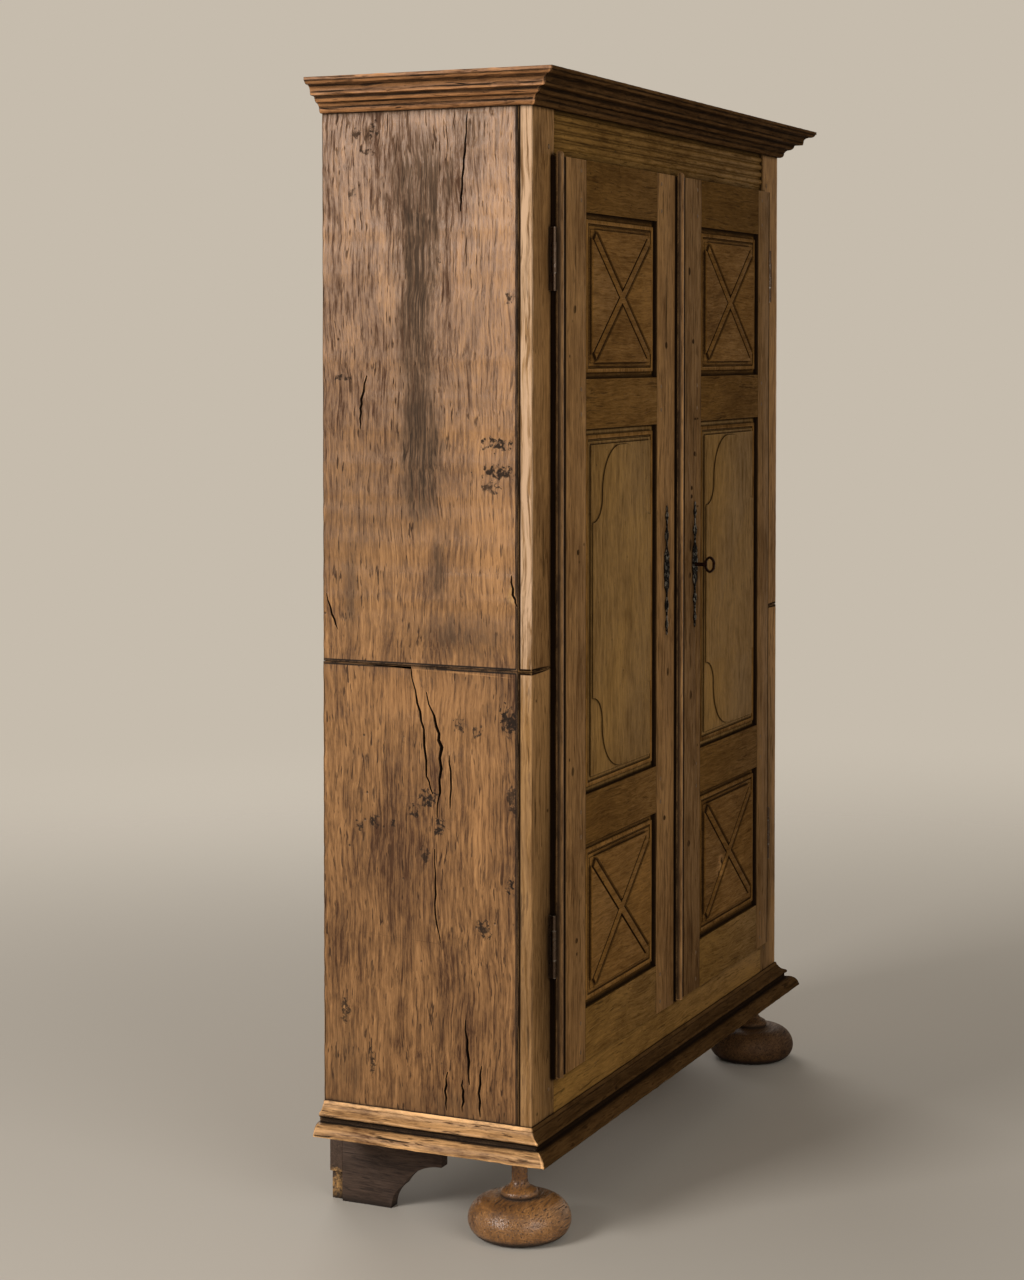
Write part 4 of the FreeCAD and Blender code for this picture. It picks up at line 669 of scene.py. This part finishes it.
class LINENPRESS_OT_frames(bpy.types.Operator):
    """Round and wax the stiles and rails of the case and doors"""

    bl_idname = "linen_press.frames"
    bl_label = "Stiles and rails"

    def execute(self, context):
        sizes = context.scene.linen_press_sizes
        colours = context.scene.linen_press_colours
        marks = self.case_marks(colours)
        case_oak = waxed_oak(
            "waxed_oak_case_stiles", "Z", colours.stile_oak, close=0.7, marks=marks, split=0.6, reach=8 * MM
        )
        depth = sizes.ragged_depth * STILE_RAGGED
        for half in ("upper", "lower"):
            for side in ("left", "right"):
                worn_copy(f"front_stile_{half}_{side}", sizes.board_wear, case_oak, run="Z", depth=depth)
        for node_name in sorted(NODES):
            if node_name.startswith("door") and "stile" in node_name:
                worn_copy(node_name, sizes.joint_wear, self.door_stile_oak(node_name, colours))
        for node_name in sorted(NODES):
            if "rail" in node_name:
                worn_copy(node_name, sizes.joint_wear, self.rail_oak(node_name, colours))
        return {"FINISHED"}

    def case_marks(self, colours):
        """Pale rubbed ends, dirt in the joints and at the hinges, and a front made paler above and darker
        below.
        """
        soot_and_shade = tuple(colours.soot_and_shade)
        pale = tuple(colours.rubbed_oak)
        paler_oak = times(colours.stile_oak, 1.5)
        low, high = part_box("front_stile_upper_left")
        front, seam = low.y, low.z
        rubbed_strip = (8 * MM, DEEP, 0.6)
        back_joint = (THROUGH, DARK_LINE, TALL)
        seam_joint = (THROUGH, DEEP, DARK_LINE)
        darker_low_patch = (125 * MM, DEEP, 0.7)
        paler_high_patch = (110 * MM, DEEP, 0.45)
        marks = []
        for x, inner in ((low.x, high.x), (-low.x, -high.x)):
            marks += [
                Mark((x, front, seam + 0.5), rubbed_strip, 0.3, 0.95, pale, 0.8),
                Mark((x, front, seam - 0.4), rubbed_strip, 0.3, 0.12, pale, 0.8),
                Mark((x, high.y, MIDDLE_Z), back_joint, 0.3, 1.0, soot_and_shade),
                Mark((x, front, seam), seam_joint, 0.3, 1.0, soot_and_shade),
                # By its inner edge the stile is made darker low and paler high.
                Mark((inner, front, 0.45), darker_low_patch, 1.0, 0.8, soot_and_shade),
                Mark((inner, front, 1.5), paler_high_patch, 1.0, 0.35, paler_oak),
            ]
        low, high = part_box("hinge_pintles")
        inset = 60 * MM
        hinge_patch = (26 * MM, DEEP, 99 * MM)
        for x in (low.x, high.x):
            for z in (low.z + inset, high.z - inset):
                marks.append(Mark((x, front, z), hinge_patch, 0.8, 0.6, soot_and_shade, 1.5))
        return marks

    def door_stile_oak(self, node_name, colours):
        """Oak of a door's stile: dirt and painted shade along its edges, a painted shadow by the bead, dirt
        round the plate, and dark chips.
        """
        soot_and_shade = tuple(colours.soot_and_shade)
        low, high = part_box(node_name)
        door = node_name[:node_name.index("_", len("door_"))]
        outer, inner = (low.x, high.x) if node_name in LEFT_STILES else (high.x, low.x)
        # Dark lines: place across, half the width in mm, softness and strength. The outer one is painted
        # shade with dirt, where the stile's edge meets a gap; the inner one is dirt in the joints.
        lines = [(outer, 7, 0.7, 1.0), (inner, 3, 0.7, 0.8)]
        if node_name in LEFT_STILES:
            # The third line is a painted shadow beside the bead, just past where the bead hides the stile.
            bead_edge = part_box(f"{door}_bead")[1].x
            lines.append((bead_edge + 14 * MM, 12, 0.4, 1.0))
        marks = [
            Mark((x, low.y, MIDDLE_Z), (half * MM, SKIN, TALL), soften, strength, soot_and_shade)
            for x, half, soften, strength in lines
        ]
        plate_low, plate_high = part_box(f"{door}_escutcheon")
        plate = (plate_low + plate_high) / 2
        marks.append(Mark(plate, (26 * MM, SKIN, 190 * MM), 0.9, 0.85, soot_and_shade, 1.2))
        for x, z, across, along in CHIPS.get(node_name, ()):
            radii = (across * MM, SKIN, along * MM)
            marks.append(Mark((x * MM, low.y, z * MM), radii, 0.4, 0.95, soot_and_shade, 1.0))
        middle = times(colours.stile_oak, DOOR_SHADES[door])
        return waxed_oak(
            f"waxed_oak_{node_name}", "Z", middle, contrast=0.9, close=0.7, marks=marks, split=0.6
        )

    def rail_oak(self, node_name, colours):
        """Oak of a rail: paler on the case and at the foot of the doors, darker on the right door."""
        dark = node_name.startswith("door") and "bottom" not in node_name
        middle = colours.rail_oak if dark else colours.lower_rail_oak
        shade = math.sqrt(DOOR_SHADES["door_right"]) if "right" in node_name else 1.0
        if "top" in node_name:
            shade *= TOP_RAIL_SHADE
        return waxed_oak(
            f"waxed_oak_{node_name}", "X", times(middle, shade), contrast=0.8, close=1.3, split=0.5
        )


# The panel with wood broken off its ribs.
BROKEN_PANEL = "door_right_lower_panel"


class LINENPRESS_OT_panels(bpy.types.Operator):
    """Round and wax the carved door panels and the beads"""

    bl_idname = "linen_press.panels"
    bl_label = "Door panels and beads"

    def execute(self, context):
        wear = context.scene.linen_press_sizes.moulding_wear
        colours = context.scene.linen_press_colours
        soot_and_shade = tuple(colours.soot_and_shade)
        # Place of a panel, axis of its grain, its oak and how far sooty dirt and painted shade spread out of
        # its hollows.
        panels = (
            ("upper", "X", colours.cross_panel_oak, 9 * MM),
            ("middle", "Z", colours.arched_panel_oak, 6 * MM),
            ("lower", "X", colours.cross_panel_oak, 9 * MM),
        )
        for door, shade in DOOR_SHADES.items():
            low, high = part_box(f"{door}_bead")
            # Painted shade darkens the left flank of each bead, which faces the gap beside it.
            flank_shade = Mark((low.x, high.y, MIDDLE_Z), (DARK_LINE, DEEP, TALL), 0.9, 0.9, soot_and_shade)
            # Both beads take the left door's stile oak, so the right door's bead is paler than its own stile:
            # rubbed oak with a painted highlight.
            handled = tuple(c / shade for c in colours.stile_oak)
            bead_oak = waxed_oak(f"waxed_oak_{door}_bead", "Z", handled, marks=[flank_shade], rub_and_highlight=0.8, gloss=0.15)
            worn_copy(f"{door}_bead", wear, bead_oak)
            for place, grain, middle, reach in panels:
                node_name = f"{door}_{place}_panel"
                low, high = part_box(node_name)
                centre = (low + high) / 2
                oak = waxed_oak(
                    f"waxed_oak_{node_name}",
                    grain,
                    times(middle, math.sqrt(math.sqrt(shade))),
                    contrast=0.8,
                    close=1.3,
                    heart=centre + Vector((50, 60, -30)) * MM,
                    marks=self.damage(colours, low, centre) if node_name == BROKEN_PANEL else (),
                    rub_and_highlight=0.7,
                    reach=reach,
                    full=0.72,
                )
                worn_copy(node_name, wear, oak)
        return {"FINISHED"}

    def damage(self, colours, low, centre):
        """Wood broken off beside a panel's crossing ribs, not deep enough to show on its back."""
        soot_and_shade = tuple(colours.soot_and_shade)
        raw = tuple(colours.raw_oak)
        paler_oak = times(colours.cross_panel_oak, 2.2)
        depth = 16 * MM
        # Place from the panel's middle, half the width and half the height in mm, strength, paint and tear.
        rows = (
            (-46, -24, 34, 32, 0.7, paler_oak, 1.0),
            (-52, -24, 12, 14, 0.5, raw, 2.0),
            (-44, -12, 10, 10, 0.95, soot_and_shade, 2.0),
            (-60, -34, 8, 10, 0.9, soot_and_shade, 2.0),
        )
        marks = []
        for x, z, across, along, strength, paint, torn in rows:
            place = (centre.x + x * MM, low.y, centre.z + z * MM)
            marks.append(Mark(place, (across * MM, depth, along * MM), 0.5, strength, paint, torn))
        return marks


class LINENPRESS_OT_panel_beads(bpy.types.Operator):
    """Plant a narrow mitred bead round the field of each door panel"""

    bl_idname = "linen_press.panel_beads"
    bl_label = "Beads round the panels"

    def execute(self, context):
        sizes = context.scene.linen_press_sizes
        colours = context.scene.linen_press_colours
        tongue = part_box("door_left_hinge_stile")[1].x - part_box("door_left_middle_panel")[0].x
        for door, shade in DOOR_SHADES.items():
            middle = times(colours.cross_panel_oak, math.sqrt(shade))
            oak = waxed_oak(f"waxed_oak_{door}_panel_beads", "Z", middle, rub_and_highlight=0.9, reach=6 * MM)
            rings = []
            for place in ("upper", "middle", "lower"):
                low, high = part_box(f"{door}_{place}_panel")
                rings.append(self.ring(sizes, low, high, tongue))
            finish_piece(joined(rings, f"{door}_panel_beads"), door, oak)
        return {"FINISHED"}

    def ring(self, sizes, low, high, tongue):
        """Inset a sheet the size of the panel to a ring, pull the ring forward and round its front."""
        centre = (low + high) / 2
        margin = 2 * (tongue + sizes.planted_margin)
        ring = unit_sheet()
        bpy.ops.mesh.select_mode(type="FACE")
        bpy.ops.transform.resize(value=(high.x - low.x - margin, high.z - low.z - margin, 1))
        bpy.ops.transform.rotate(value=math.radians(90), orient_axis="X", center_override=(0, 0, 0))
        bpy.ops.transform.translate(value=(centre.x, high.y - sizes.planted_back, centre.z))
        bpy.ops.mesh.inset(thickness=sizes.planted_width, depth=0)
        bpy.ops.mesh.delete(type="FACE")
        bpy.ops.mesh.select_all(action="SELECT")
        bpy.ops.mesh.extrude_region_move(TRANSFORM_OT_translate={"value": (0, -sizes.planted_height, 0)})
        turn_outwards()
        rounding = ring.modifiers.new("round", "BEVEL")
        rounding.width = sizes.planted_width * 0.3
        rounding.segments = 3
        bpy.ops.object.modifier_apply(modifier=rounding.name)
        return ring


class LINENPRESS_OT_mouldings(bpy.types.Operator):
    """Round and weather the cornice and base moulding"""

    bl_idname = "linen_press.mouldings"
    bl_label = "Cornice and base moulding"

    def execute(self, context):
        sizes = context.scene.linen_press_sizes
        colours = context.scene.linen_press_colours
        soot_and_shade = tuple(colours.soot_and_shade)
        low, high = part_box("cornice_front")
        # Sooty dirt with painted shade in the re-entrant steps of the cornice: place as a share of its
        # height, and half the line's width in mm.
        steps = ((0.18, 2.4), (0.30, 1.6), (0.45, 3.2), (0.58, 2.4), (0.76, 2.8), (0.88, 2.2))
        all_round = 9.0
        step_shade_lines = []
        for share, half in steps:
            place = (0, 0, low.z + (high.z - low.z) * share)
            step_shade_lines.append(Mark(place, (all_round, all_round, half * MM), 0.6, 0.95, soot_and_shade, 0.7))
        for moulding, front, end, reach, full, marks in (
            ("cornice", colours.front_cornice_oak, colours.end_cornice_oak, 12 * MM, 0.80, step_shade_lines),
            ("base_moulding", colours.front_base_oak, colours.end_base_oak, 16 * MM, 0.72, ()),
        ):
            dirt_and_shade = {"marks": marks, "grime_and_shade": 1.0, "reach": reach, "full": full}
            dry = {"contrast": 1.3, "split": 0.95, "gloss": 0.15}
            front_oak = waxed_oak(f"waxed_oak_{moulding}_front", "X", front, rub_and_highlight=0.9, **dirt_and_shade)
            end_oak = waxed_oak(f"weathered_oak_{moulding}_ends", "Y", end, rub_and_highlight=1.0, **dry, **dirt_and_shade)
            lengths = (("front", "X", front_oak), ("left", "Y", end_oak), ("right", "Y", end_oak))
            for place, run, oak in lengths:
                worn_copy(f"{moulding}_{place}", sizes.moulding_wear, oak, run=run, depth=sizes.ragged_depth)
        return {"FINISHED"}


class LINENPRESS_OT_feet(bpy.types.Operator):
    """Wax the turned feet and stain the rear brackets"""

    bl_idname = "linen_press.feet"
    bl_label = "Feet"

    def execute(self, context):
        wear = context.scene.linen_press_sizes.joint_wear
        colours = context.scene.linen_press_colours
        # The right foot stands in the shade, and that shade is painted into its oak, darkened nearly to
        # black.
        for side, share, gloss in (("left", 1.0, 0.5), ("right", 0.26, 0.2)):
            foot_oak = waxed_oak(
                f"waxed_oak_turned_foot_{side}",
                "X",
                times(colours.foot_oak, share),
                contrast=1.35,
                close=1.6,
                split=0.9,
                rough=0.22,
                gloss=gloss,
            )
            worn_copy(f"bun_foot_{side}", wear, foot_oak)
        raw = tuple(colours.raw_oak)
        low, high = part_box("rear_bracket_backs")
        inset, rise = 12 * MM, 20 * MM
        radii = (16 * MM, 40 * MM, 42 * MM)
        chips = [Mark((x, high.y - inset, rise), radii, 0.35, 0.95, raw, 2.0) for x in (low.x, high.x)]
        for grain, node_name, marks in (("Y", "rear_brackets", ()), ("X", "rear_bracket_backs", chips)):
            stain = {"marks": marks, "rub_and_highlight": 0.8, "rough": 0.4, "gloss": 0.4}
            stained = waxed_oak(f"stained_oak_{node_name}", grain, colours.bracket_stain, **stain)
            worn_copy(node_name, wear, stained)
        return {"FINISHED"}


# Distance of the pegs from a stile's inner edge, and from a rail's edges as a share of its width.
PEG_INSET = 22 * MM
PEG_SHARE = 0.22


class LINENPRESS_OT_pegs(bpy.types.Operator):
    """Drive oak pegs through the joints of the doors and the case"""

    bl_idname = "linen_press.pegs"
    bl_label = "Joint pegs"

    def execute(self, context):
        sizes = context.scene.linen_press_sizes
        colours = context.scene.linen_press_colours
        dark = times(colours.stile_oak, 0.4)
        peg_oak = waxed_oak("end_grain_oak_pegs", "Y", dark, rough=0.6, gloss=0.4)
        pattern = self.peg(sizes)
        joints = {
            "door_left": ("door_left_hinge_stile", "door_left_meeting_stile"),
            "door_right": ("door_right_lock_stile", "door_right_hinge_stile"),
        }
        for door, stiles in joints.items():
            rails = [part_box(f"{door}_top_rail"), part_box(f"{door}_bottom_rail"), *self.mid_rails(door)]
            pegs = []
            for stile, edge in zip(stiles, (1, -1)):
                for rail_low, rail_high in rails:
                    pegs.extend(self.pair(pattern, stile, edge, rail_low.z, rail_high.z))
            finish_piece(joined(pegs, f"{door}_pegs"), door, peg_oak)
        pegs = []
        for half, rail in (("upper", "frieze_rail"), ("lower", "bottom_rail")):
            rail_low, rail_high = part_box(rail)
            for side, edge in (("left", 1), ("right", -1)):
                pegs.extend(self.pair(pattern, f"front_stile_{half}_{side}", edge, rail_low.z, rail_high.z))
        finish_piece(joined(pegs, "case_pegs"), "case", peg_oak)
        bpy.data.objects.remove(pattern)
        return {"FINISHED"}

    def mid_rails(self, door):
        """Lowest and highest corners of the two middle rails."""
        low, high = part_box(f"{door}_mid_rails")
        panel_low, panel_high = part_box(f"{door}_middle_panel")
        return ((low, panel_low), (panel_high, high))

    def pair(self, pattern, stile, edge, bottom, top):
        """Copy a peg twice into a stile, where a rail enters its edge."""
        low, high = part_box(stile)
        joint_x = (high.x if edge > 0 else low.x) - edge * PEG_INSET
        rise = (top - bottom) * PEG_SHARE
        copies = []
        for z in (bottom + rise, top - rise):
            copy = bpy.data.objects.new("peg", pattern.data.copy())
            copy.data.transform(Matrix.Translation((joint_x, low.y, z)))
            bpy.context.scene.collection.objects.link(copy)
            copies.append(copy)
        return copies

    def peg(self, sizes):
        """Model one peg at the origin: an eight-sided pin with its rim worn round."""
        sunk = 5 * MM
        bpy.ops.object.select_all(action="DESELECT")
        bpy.ops.mesh.primitive_circle_add(vertices=8, radius=sizes.peg_width / 2, fill_type="NGON")
        peg = bpy.context.object
        bpy.ops.object.mode_set(mode="EDIT")
        bpy.ops.mesh.select_all(action="SELECT")
        bpy.ops.transform.rotate(value=math.radians(90), orient_axis="X", center_override=(0, 0, 0))
        bpy.ops.transform.translate(value=(0, sunk, 0))
        bpy.ops.mesh.extrude_region_move(TRANSFORM_OT_translate={"value": (0, -sunk, 0)})
        for across, up in ((0.92, 0.94), (0.72, 0.78)):
            bpy.ops.mesh.extrude_region_move(TRANSFORM_OT_translate={"value": (0, -sizes.peg_stand * 0.5, 0)})
            bpy.ops.transform.resize(value=(across, 1, up), center_override=(0, 0, 0))
        turn_outwards()
        return peg


class LINENPRESS_OT_inside(bpy.types.Operator):
    """Give the boards inside and behind the case bare oak"""

    bl_idname = "linen_press.inside"
    bl_label = "Inside boards"

    def execute(self, context):
        middle = context.scene.linen_press_colours.bare_oak
        groups = (
            ("back", "Z", "X", ("back_boards_lower", "back_boards_upper")),
            ("top", "X", "Y", ("top_boards",)),
            ("blocks", "Z", None, ("foot_blocks", "seam_dowels")),
            ("shelves", "X", None, ("bottom_board", "shelf_lower", "shelf_middle", "shelf_upper")),
            ("cleats", "Y", None, ("shelf_cleats",)),
        )
        for name, grain, across, members in groups:
            boards = self.boards(members[0], across) if across else None
            oak = waxed_oak(f"bare_oak_{name}", grain, middle, rub_and_highlight=0.2, rough=0.75, gloss=0.2, boards=boards)
            for node_name in members:
                paint_node(node_name, oak)
        return {"FINISHED"}

    def boards(self, node_name, across):
        """Axis across a row of boards, where the first one starts, and the width of each, joint included."""
        axis = "XYZ".index(across)
        edges = sorted({round(vertex.co[axis], 4) for vertex in NODES[node_name].data.vertices})
        gap = edges[2] - edges[1]
        return across, edges[0] - gap / 2, edges[2] - edges[0]


class LINENPRESS_OT_iron(bpy.types.Operator):
    """Give the hinges, lock, key and bolts forged iron"""

    bl_idname = "linen_press.iron"
    bl_label = "Iron"

    def execute(self, context):
        colours = context.scene.linen_press_colours
        iron = forged_iron("forged_iron", colours.forge_scale, 0.9)
        own = {
            "key": forged_iron("rusted_iron_key", colours.rust, 0.5),
            "lock_case": forged_iron("forged_iron_lock_case", colours.forge_scale, 0.25),
        }
        hinge_iron = forged_iron("rusted_iron_hinges", colours.hinge_rust, 0.7)
        for node_name in ("hinge_pintles", "door_left_hinge_leaves", "door_right_hinge_leaves"):
            own[node_name] = hinge_iron
        for node_name, slot_name in SLOTS.items():
            if slot_name == "iron":
                paint_node(node_name, own.get(node_name, iron))
        return {"FINISHED"}


class LINENPRESS_OT_stage(bpy.types.Operator):
    """Add the floor, the surround, the lights and the camera"""

    bl_idname = "linen_press.stage"
    bl_label = "Stage"

    def execute(self, context):
        scene = context.scene
        scene.view_settings.view_transform = "Standard"
        bpy.ops.object.select_all(action="DESELECT")
        bpy.ops.mesh.primitive_plane_add(size=16)
        floor = context.object
        floor.name = "studio_floor"
        floor.data.materials.append(self.floor_paper(scene.linen_press_colours.floor))
        self.surround(scene)
        self.lamp("key_light", (-4.2, 1.9, 2.65), (-0.6, 0.05, 1.2), 1.7, 140)
        self.lamp("front_fill", (-2.6, -3.5, 2.0), (-0.1, 0.0, 0.95), 2.8, 66)
        self.lamp("back_fill", (4.2, 3.4, 2.6), (0.0, 0.0, 1.0), 3.0, 130)
        bpy.ops.object.camera_add()
        camera = context.object
        camera.name = "photo_camera"
        camera.data.sensor_width = 36.0
        camera.data.lens = 71.96
        camera.data.shift_y = -0.1559
        camera.location = (-4.4327, -1.8583, 1.4698)
        pitch = math.radians(2.0)
        heading = math.radians(24.321)
        level = math.cos(pitch)
        look = Vector((math.cos(heading) * level, math.sin(heading) * level, -math.sin(pitch)))
        camera.rotation_euler = look.to_track_quat("-Z", "Y").to_euler()
        scene.camera = camera
        return {"FINISHED"}

    # Matt studio paper: one plain tone that fades into the surround a few metres out.
    def floor_paper(self, paper):
        """Make the floor's paper."""
        material, tree, shader = new_material("matt_studio_paper")
        shader.inputs["Base Color"].default_value = (*paper, 1.0)
        shader.inputs["Roughness"].default_value = 0.9
        shader.inputs["Specular IOR Level"].default_value = 0.1
        coords = add(tree, "TexCoord", out="Object")
        away = add(tree, "VectorMath", {0: coords}, out="Value", operation="LENGTH")
        fade = add(
            tree,
            "MapRange",
            {"Value": away, "From Min": 1.2, "From Max": 5.0},
            interpolation_type="SMOOTHSTEP",
        )
        clear = add(tree, "BsdfTransparent")
        surface = add(tree, "MixShader", {0: fade, 1: shader.outputs[0], 2: clear})
        tree.links.new(surface, tree.nodes["Material Output"].inputs["Surface"])
        return material

    def surround(self, scene):
        """Light the scene softly from all round and show a plain pale backdrop."""
        world = bpy.data.worlds.new("studio_surround")
        scene.world = world
        world.use_nodes = True
        tree = world.node_tree
        soft = tree.nodes["Background"]
        soft.inputs["Color"].default_value = (*linear("#d8d2c8"), 1.0)
        soft.inputs["Strength"].default_value = 0.28
        pale = {"Color": tuple(scene.linen_press_colours.surround), "Strength": 1.0}
        backdrop = add(tree, "Background", pale)
        seen = add(tree, "LightPath", out="Is Camera Ray")
        rays = seen.node.outputs
        for ray in ("Is Glossy Ray", "Is Transmission Ray"):
            seen = add(tree, "Math", {0: seen, 1: rays[ray]}, operation="MAXIMUM")
        shown = add(tree, "MixShader", {0: seen, 1: soft.outputs[0], 2: backdrop})
        tree.links.new(shown, tree.nodes["World Output"].inputs["Surface"])

    def lamp(self, name, place, target, width, power):
        """Add a soft square lamp that looks at a target."""
        bpy.ops.object.light_add(type="AREA", location=place)
        lamp = bpy.context.object
        lamp.name = name
        lamp.data.shape = "SQUARE"
        lamp.data.size = width
        lamp.data.energy = power
        lamp.rotation_euler = (Vector(target) - Vector(place)).to_track_quat("-Z", "Y").to_euler()


class LINENPRESS_PT_panel(bpy.types.Panel):
    """Lists the sizes, the colours and the steps of the finish"""
    bl_idname = "LINENPRESS_PT_panel"
    bl_label = "Linen press"
    bl_space_type = "VIEW_3D"
    bl_region_type = "UI"
    bl_category = "Linen press"

    def draw(self, context):
        for group in (context.scene.linen_press_sizes, context.scene.linen_press_colours):
            for name in group.__annotations__:
                self.layout.prop(group, name)
        for operator in PIECES:
            self.layout.operator(operator.bl_idname)


PIECES = (
    LINENPRESS_OT_side_boards,
    LINENPRESS_OT_frames,
    LINENPRESS_OT_panels,
    LINENPRESS_OT_panel_beads,
    LINENPRESS_OT_mouldings,
    LINENPRESS_OT_feet,
    LINENPRESS_OT_pegs,
    LINENPRESS_OT_inside,
    LINENPRESS_OT_iron,
    LINENPRESS_OT_stage,
)
CLASSES = (LinenPressSizes, LinenPressColours, *PIECES, LINENPRESS_PT_panel)


def register():
    for item in CLASSES:
        bpy.utils.register_class(item)
    bpy.types.Scene.linen_press_sizes = PointerProperty(type=LinenPressSizes)
    bpy.types.Scene.linen_press_colours = PointerProperty(type=LinenPressColours)


def unregister():
    del bpy.types.Scene.linen_press_colours
    del bpy.types.Scene.linen_press_sizes
    for item in reversed(CLASSES):
        bpy.utils.unregister_class(item)


def main():
    register()
    bpy.ops.linen_press.side_boards()
    bpy.ops.linen_press.frames()
    bpy.ops.linen_press.panels()
    bpy.ops.linen_press.panel_beads()
    bpy.ops.linen_press.mouldings()
    bpy.ops.linen_press.feet()
    bpy.ops.linen_press.pegs()
    bpy.ops.linen_press.inside()
    bpy.ops.linen_press.iron()
    bpy.ops.linen_press.stage()


if __name__ == "__main__":
    main()
